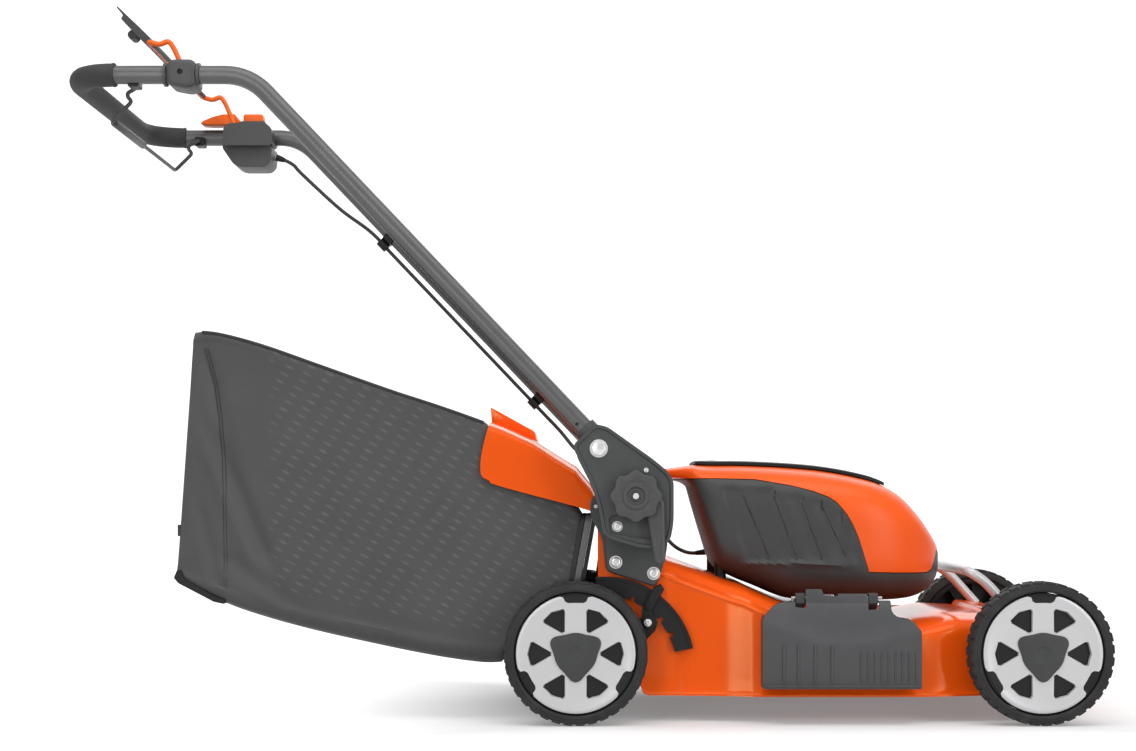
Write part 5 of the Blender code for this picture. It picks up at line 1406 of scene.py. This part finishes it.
for name, distance in (("lower", 0.155), ("upper", 0.53)):
    centre = Vector(under_leg(distance, 0.0, TUBE_Y))
    lug = Vector(under_leg(distance, LEG_DROP, TUBE_Y))
    ends = [(centre + ALONG_LEG * reach, lug + ALONG_LEG * reach) for reach in (-0.009, 0.009)]
    band = wire([end[0] for end in ends], 0.0176, 40)
    band = combine(band, wire([end[1] for end in ends], 0.0075, 24), "UNION")
    band = combine(band, wire([centre - ALONG_LEG * 0.05, centre + ALONG_LEG * 0.05], TUBE_CHANNEL, 32))
    band = combine(band, wire([lug - ALONG_LEG * 0.05, lug + ALONG_LEG * 0.05], CABLE_RADIUS + 0.0003, 24))
    piece(f"clip_{name}", band, black_plastic, "handle", (f"cable_clip_{name}",),
          bevel=0.0008)
gland = wire([(0.185, 0.1683, 0.239), (0.198, 0.156, 0.241), (0.213, 0.14, 0.2445)], 1.0, 16,
             radii=[0.004, 0.0052, 0.0058])
piece("cable_gland", gland, black_plastic, "chassis", smooth=50)

# Rear flap: a painted hood over the bag's mouth, hinged on a steel rod behind the deck. Its rear edge
# slants and bulges, and a raised grip stands on its top. Each station is (bottom x, z, top x, z).
FLAP_STATIONS = (
    (-0.149, 0.3562, -0.1404, 0.4468), (-0.125, 0.3482, -0.122, 0.44),
    (-0.0751, 0.3347, -0.0751, 0.4186), (-0.0454, 0.327, -0.0454, 0.3993),
    (-0.0127, 0.3183, -0.0127, 0.379), (0.008, 0.3118, 0.0096, 0.352), (0.019, 0.3075, 0.0214, 0.327),
)
FLAP_HALF = 0.2045
FLAP_ROUND = 0.03


def between(stations, share):
    """The station at a share of 0 to 1 of the way along the list, on straight lines."""
    place = share * (len(stations) - 1)
    index = min(int(place), len(stations) - 2)
    t = place - index
    return [a + (b - a) * t for a, b in zip(stations[index], stations[index + 1])]


rows = []
for share in even(0, 1, 60):
    bx, bz, tx, tz = between(FLAP_STATIONS, share)
    shoulder = min(FLAP_ROUND, 0.6 * (tz - bz))
    bulge = 0.0082 * max(0.0, 1 - share / 0.22)
    arch = [(FLAP_HALF, z) for z in even(bz, tz - shoulder, 12)]
    for k in range(1, 15):
        across, rise = polar(1.0, 90 * k / 14)
        arch.append((FLAP_HALF * abs(across) ** 0.4, tz - shoulder + shoulder * rise ** 0.4))
    arch = [(y, z) for y, z in arch if y > 0.02] + [(0.0, tz)]
    row = []
    for y, z in arch:
        t = (z - bz) / (tz - bz)
        corner = 0.0
        if share < 0.06 and z < bz + 0.01:
            corner = 0.008 * (1 - share / 0.06) * (1 - (z - bz) / 0.01) ** 2
        row.append((bx + (tx - bx) * t - bulge * math.sin(math.pi * t ** 0.62) + corner, y, z))
    rows.append([(x, -y, z) for x, y, z in row] + list(reversed(row[:-1])))
hood = hollowed(loft(rows, closed=False), 0.003)
grip = plate(rounded(((-0.147, 0.4725), (-0.079, 0.435), (-0.0745, 0.418), (-0.144, 0.44)), 0.003), -0.07,
             0.07, rounding=0.0024, segments=3)
piece("flap_shown", merged(hood, grip), orange_paint, "flap", ("rear_flap",), bevel=0.0009,
      smooth=40)
piece("flap_rod", wire([(FLAP_PIVOT[0], -0.214, FLAP_PIVOT[1]), (FLAP_PIVOT[0], 0.214, FLAP_PIVOT[1])],
                       0.003), steel, "flap", ("flap_hinge_rod",), smooth=50)

# Grass bag: a woven polyester bag stretched over a steel frame. Its stations are (x, half width, bottom,
# top, lean, upper corner radius, lower corner radius), where x is taken at z = 0.30 and lean is dx/dz.
BAG_STATIONS = (
    (-0.602, 0.189, 0.209, 0.579, 0.07, 0.012, 0.014),
    (-0.59, 0.192, 0.201, 0.58, 0.07, 0.01, 0.016),
    (-0.56, 0.1955, 0.188, 0.576, 0.07, 0.008, 0.018),
    (-0.5, 0.199, 0.165, 0.56, 0.07, 0.008, 0.02),
    (-0.41, 0.201, 0.139, 0.53, 0.06, 0.008, 0.022),
    (-0.29, 0.2015, 0.111, 0.4905, 0.03, 0.008, 0.024),
    (-0.22, 0.201, 0.0965, 0.469, 0.01, 0.008, 0.024),
    (-0.16, 0.199, 0.087, 0.4485, 0.0, 0.01, 0.024),
    (-0.147, 0.198, 0.0857, 0.443, 0.0, 0.012, 0.024),
    (-0.1405, 0.1978, 0.0855, 0.435, 0.0, 0.012, 0.024),
    (-0.125, 0.1975, 0.086, 0.416, 0.0, 0.014, 0.024),
    (-0.09, 0.1955, 0.13, 0.393, 0.02, 0.016, 0.022),
    (-0.065, 0.1935, 0.16, 0.374, 0.06, 0.016, 0.02),
    (-0.04, 0.192, 0.185, 0.348, 0.12, 0.016, 0.018),
    (-0.02, 0.191, 0.196, 0.323, 0.16, 0.015, 0.016),
    (-0.006, 0.1905, 0.201, 0.305, 0.18, 0.014, 0.014),
)
BAG_SEAM = ((-0.5644, 0.554), (-0.55, 0.498), (-0.5436, 0.4529), (-0.5362, 0.3473), (-0.5347, 0.1823))
BAG_CREASES = (
    ((-0.556, 0.52), (-0.533, 0.425), 0.0035, 0.01),
    ((-0.5406, 0.3994), (-0.4812, 0.2596), 0.0085, 0.012),
    ((-0.2343, 0.2953), (-0.2105, 0.3191), 0.0022, 0.005),
    ((-0.57, 0.3), (-0.548, 0.21), 0.0035, 0.009),
    ((-0.515, 0.23), (-0.45, 0.185), 0.004, 0.012),
    ((-0.33, 0.15), (-0.2, 0.125), 0.0018, 0.012),
)


def near_line(x, z, start, end):
    """The distance of a point from a stretch, and how far it is past the stretch's ends."""
    (ax, az), (bx, bz) = start, end
    length = math.hypot(bx - ax, bz - az)
    along = ((x - ax) * (bx - ax) + (z - az) * (bz - az)) / length
    beside = ((x - ax) * (bz - az) - (z - az) * (bx - ax)) / length
    return beside, max(0.0, -along, along - length)


def side_shift(x, z, top, bottom):
    """How far the bag's side stands in or out of its flat panel, in metres."""
    high = (z - bottom) / (top - bottom)
    back = unit((-0.1 - x) / 0.1)
    shift = -0.0035 * math.sin(math.pi * unit(high)) * back
    shift += 0.0016 * math.sin(17 * x + 9 * z) * math.sin(13 * z - 6 * x + 1.0) * back
    for start, end, depth, width in BAG_CREASES:
        beside, past = near_line(x, z, start, end)
        fade = math.exp(-(past / (3 * width)) ** 2)
        shift -= depth * fade * math.exp(-(beside / width) ** 2)
        shift += 0.45 * depth * fade * math.exp(-((beside - 1.8 * width) / width) ** 2)
    for start, end in zip(BAG_SEAM, BAG_SEAM[1:]):
        beside, past = near_line(x, z, start, end)
        shift -= 0.0012 * math.exp(-(past / 0.004) ** 2) * math.exp(-(beside / 0.004) ** 2)
    return shift


def bag_ring(x, half, bottom, top, lean, upper, lower, shape=True):
    """A closed section of the bag with rounded corners, in even steps, that starts at its bottom."""
    ring = []
    start = (-half + lower, bottom)
    for y, z, radius, turn, part, count in (
        (half - lower, bottom + lower, lower, -90, "bottom", 24),
        (half - upper, top - upper, upper, 0, "side", 56),
        (-half + upper, top - upper, upper, 90, "top", 24),
        (-half + lower, bottom + lower, lower, 180, "side", 56),
    ):
        corner = arc((y, z), radius, turn, 15, 7)
        for k in range(count):
            share = (k + 0.5) / count
            ring.append((*(a + (b - a) * share for a, b in zip(start, corner[0])), part))
        ring += [(*place, "corner") for place in corner]
        start = corner[-1]
    points = []
    for y, z, part in ring:
        place = x + lean * (z - 0.3)
        if shape:
            back = unit((-0.06 - place) / 0.12)
            hang = 1 - (y / half) ** 2
            if part == "bottom":
                z -= 0.009 * hang * back
            elif part == "top":
                z -= 0.006 * hang * back + 0.001 * math.sin(30 * place + 8 * y) * hang * back
            elif part == "side":
                y = math.copysign(abs(y) + side_shift(place, z, top, bottom), y)
        points.append((place, y, z))
    return points


BAG_ROWS = 150
rows = [bag_ring(x, *eased(BAG_STATIONS, x)) for x in even(BAG_STATIONS[-1][0], BAG_STATIONS[0][0], BAG_ROWS)]
BACK_Z = 0.394
BACK_X = BAG_STATIONS[0][0] + BAG_STATIONS[0][4] * (BACK_Z - 0.3)
for share, bulge in ((0.975, 0.002), (0.9, 0.0035), (0.78, 0.005), (0.6, 0.0062), (0.4, 0.007),
                     (0.18, 0.0074)):
    back = []
    for x, y, z in rows[BAG_ROWS]:
        back.append((BACK_X + (x - BACK_X) * share - bulge, y * share, BACK_Z + (z - BACK_Z) * share))
    rows.append(back)
bag = loft(rows, cap_last=True)
BAG_AREA = sum(face.calc_area() for face in bag.faces)
fabric = Finish("bag_fabric", base_color=(0.09, 0.09, 0.09), roughness=0.82, sheen_weight=0.15)
x, z = fabric.along("X"), fabric.along("Z")
ROW_PITCH = 0.0104
DASH_PITCH = 0.034
level = z * (1 / ROW_PITCH)
slid = (x + level.math("FLOOR") * -0.0072) * (1 / DASH_PITCH)
beside = (slid.math("FRACT") - 0.5) * DASH_PITCH
above = (level.math("FRACT") - 0.5) * ROW_PITCH
TILT = math.radians(28)
along = beside * math.cos(TILT) - above * math.sin(TILT)
across = beside * math.sin(TILT) + above * math.cos(TILT)
dash = (1.0 - ((along * (1 / 0.0088)) ** 2.0 + (across * (1 / 0.0026)) ** 2.0)).math("MAXIMUM", 0.0)
MESH_REAR = -0.4737
MESH_CORNER = (-0.4915, 0.2001)
MESH_SLOPE = 0.215
border = z - MESH_CORNER[1] + (x - MESH_CORNER[0]) * MESH_SLOPE
mesh_area = ((x - MESH_REAR) * 60.0).clamped() * (border * 150.0).clamped()
cloudy = fabric.noise(9.0, 4.0, 0.6)
strength = fabric.noise(60.0, 2.0)
tone = cloudy * 0.35 + dash * mesh_area * strength * 0.95
fabric.set(base_color=fabric.shade(tone, (0.07, 0.07, 0.07), (0.155, 0.155, 0.155)))
WEAVE = 2 * math.pi / 0.0016
warp = (x + z * 0.35) * WEAVE
weft = (z - x * 0.35) * WEAVE
weave = warp.math("SINE") * weft.math("SINE")
wrinkle = fabric.noise(26.0, 4.0, 0.6)
fabric.bump(weave * 0.1 + wrinkle + dash * mesh_area * 0.25, 0.0008)
shell = piece("bag_shell", bag, fabric, "bag", ("grass_bag",), smooth=50)
cloth = shell.modifiers.new("cloth", "SOLIDIFY")
cloth.thickness = 0.0012
cloth.offset = -1

# Bag trim: dark piping sewn along the top edges, a seam on each side where the back panel is joined, a
# black moulded bumper under the back edge and two small plain tabs on the back.
piping = mottled(
    "piping", (0.03, 0.03, 0.031), (0.024, 0.024, 0.025), (0.038, 0.038, 0.039),
    90.0, (900.0, 0.0001), roughness=0.65,
)


def side_point(x, z, out):
    half, bottom, top = eased(BAG_STATIONS, x)[:3]
    return half + side_shift(x, z, top, bottom) + out


edges = []
for _, sign in SIDES:
    edge = []
    for x in even(-0.15, -0.59, 40):
        half, bottom, top, lean = eased(BAG_STATIONS, x)[:4]
        edge.append((x + lean * (top - 0.3), sign * (half - 0.0012), top - 0.0014))
    edges.append(wire(edge, 0.0022, 12))
piece("bag_piping", merged(*edges), piping, "bag", smooth=50)
seams = []
for _, sign in SIDES:
    for gap in (-0.0022, 0.0022):
        line = []
        for (ax, az), (bx, bz) in zip(BAG_SEAM, BAG_SEAM[1:]):
            for k in range(12):
                x, z = ax + (bx - ax) * k / 12 + gap, az + (bz - az) * k / 12
                line.append((x, sign * side_point(x, z, 0.0002), z))
        seams.append(wire(line, 0.0005, 8))
piece("bag_seams", merged(*seams), piping, "bag", smooth=50)
bumper = plate(rounded(((-0.6072, 0.2245), (-0.6125, 0.212), (-0.606, 0.204), (-0.553, 0.1762),
                        (-0.537, 0.1728), (-0.535, 0.179), (-0.552, 0.185), (-0.596, 0.211), (-0.601, 0.223)),
                        0.002), -0.1945, 0.1945)
piece("bag_bumper", bumper, black_plastic, "bag", bevel=0.0015, segments=3)
tabs = [block((-0.6085, -0.602), span((0.165, 0.185), sign), (0.274, 0.291)) for _, sign in SIDES]
piece("bag_tabs", merged(*tabs), piping, "bag", bevel=0.0008)

# Bag frame: a flat steel hoop round the bag's mouth, between the fabric's black binding and a black
# rubber lip that closes on the deck. The hoop leans back with the bag's mouth.
MOUTH = (0.1912, 0.1995, 0.3065, 0.18, 0.014, 0.014)
MOUTH_X = -0.0062


def hoop(low, high, thickness):
    half, bottom, top, lean, upper, lower = MOUTH
    rings = []
    for depth, inset in ((low, 0.0), (high, 0.0), (high, thickness), (low, thickness)):
        shrunk = (half - inset, bottom + inset, top - inset, lean, upper - inset, lower - inset)
        rings.append(bag_ring(MOUTH_X + depth, *shrunk, shape=False))
    return welded(loft(rings + [rings[0]]))


hoop_paint = mottled(
    "hoop_paint", (0.155, 0.155, 0.155), (0.14, 0.14, 0.14), (0.172, 0.172, 0.172),
    50.0, roughness=0.42, metallic=0.2,
)
piece("bag_binding", hoop(0.0, 0.0066, 0.0052), piping, "bag", ("bag_frame",), bevel=0.0012)
piece("bag_hoop", hoop(0.0068, 0.017, 0.0046), hoop_paint, "bag", bevel=0.0016, segments=3)
piece("bag_lip", hoop(0.0172, 0.0236, 0.0052), rubber, "bag", bevel=0.0012)
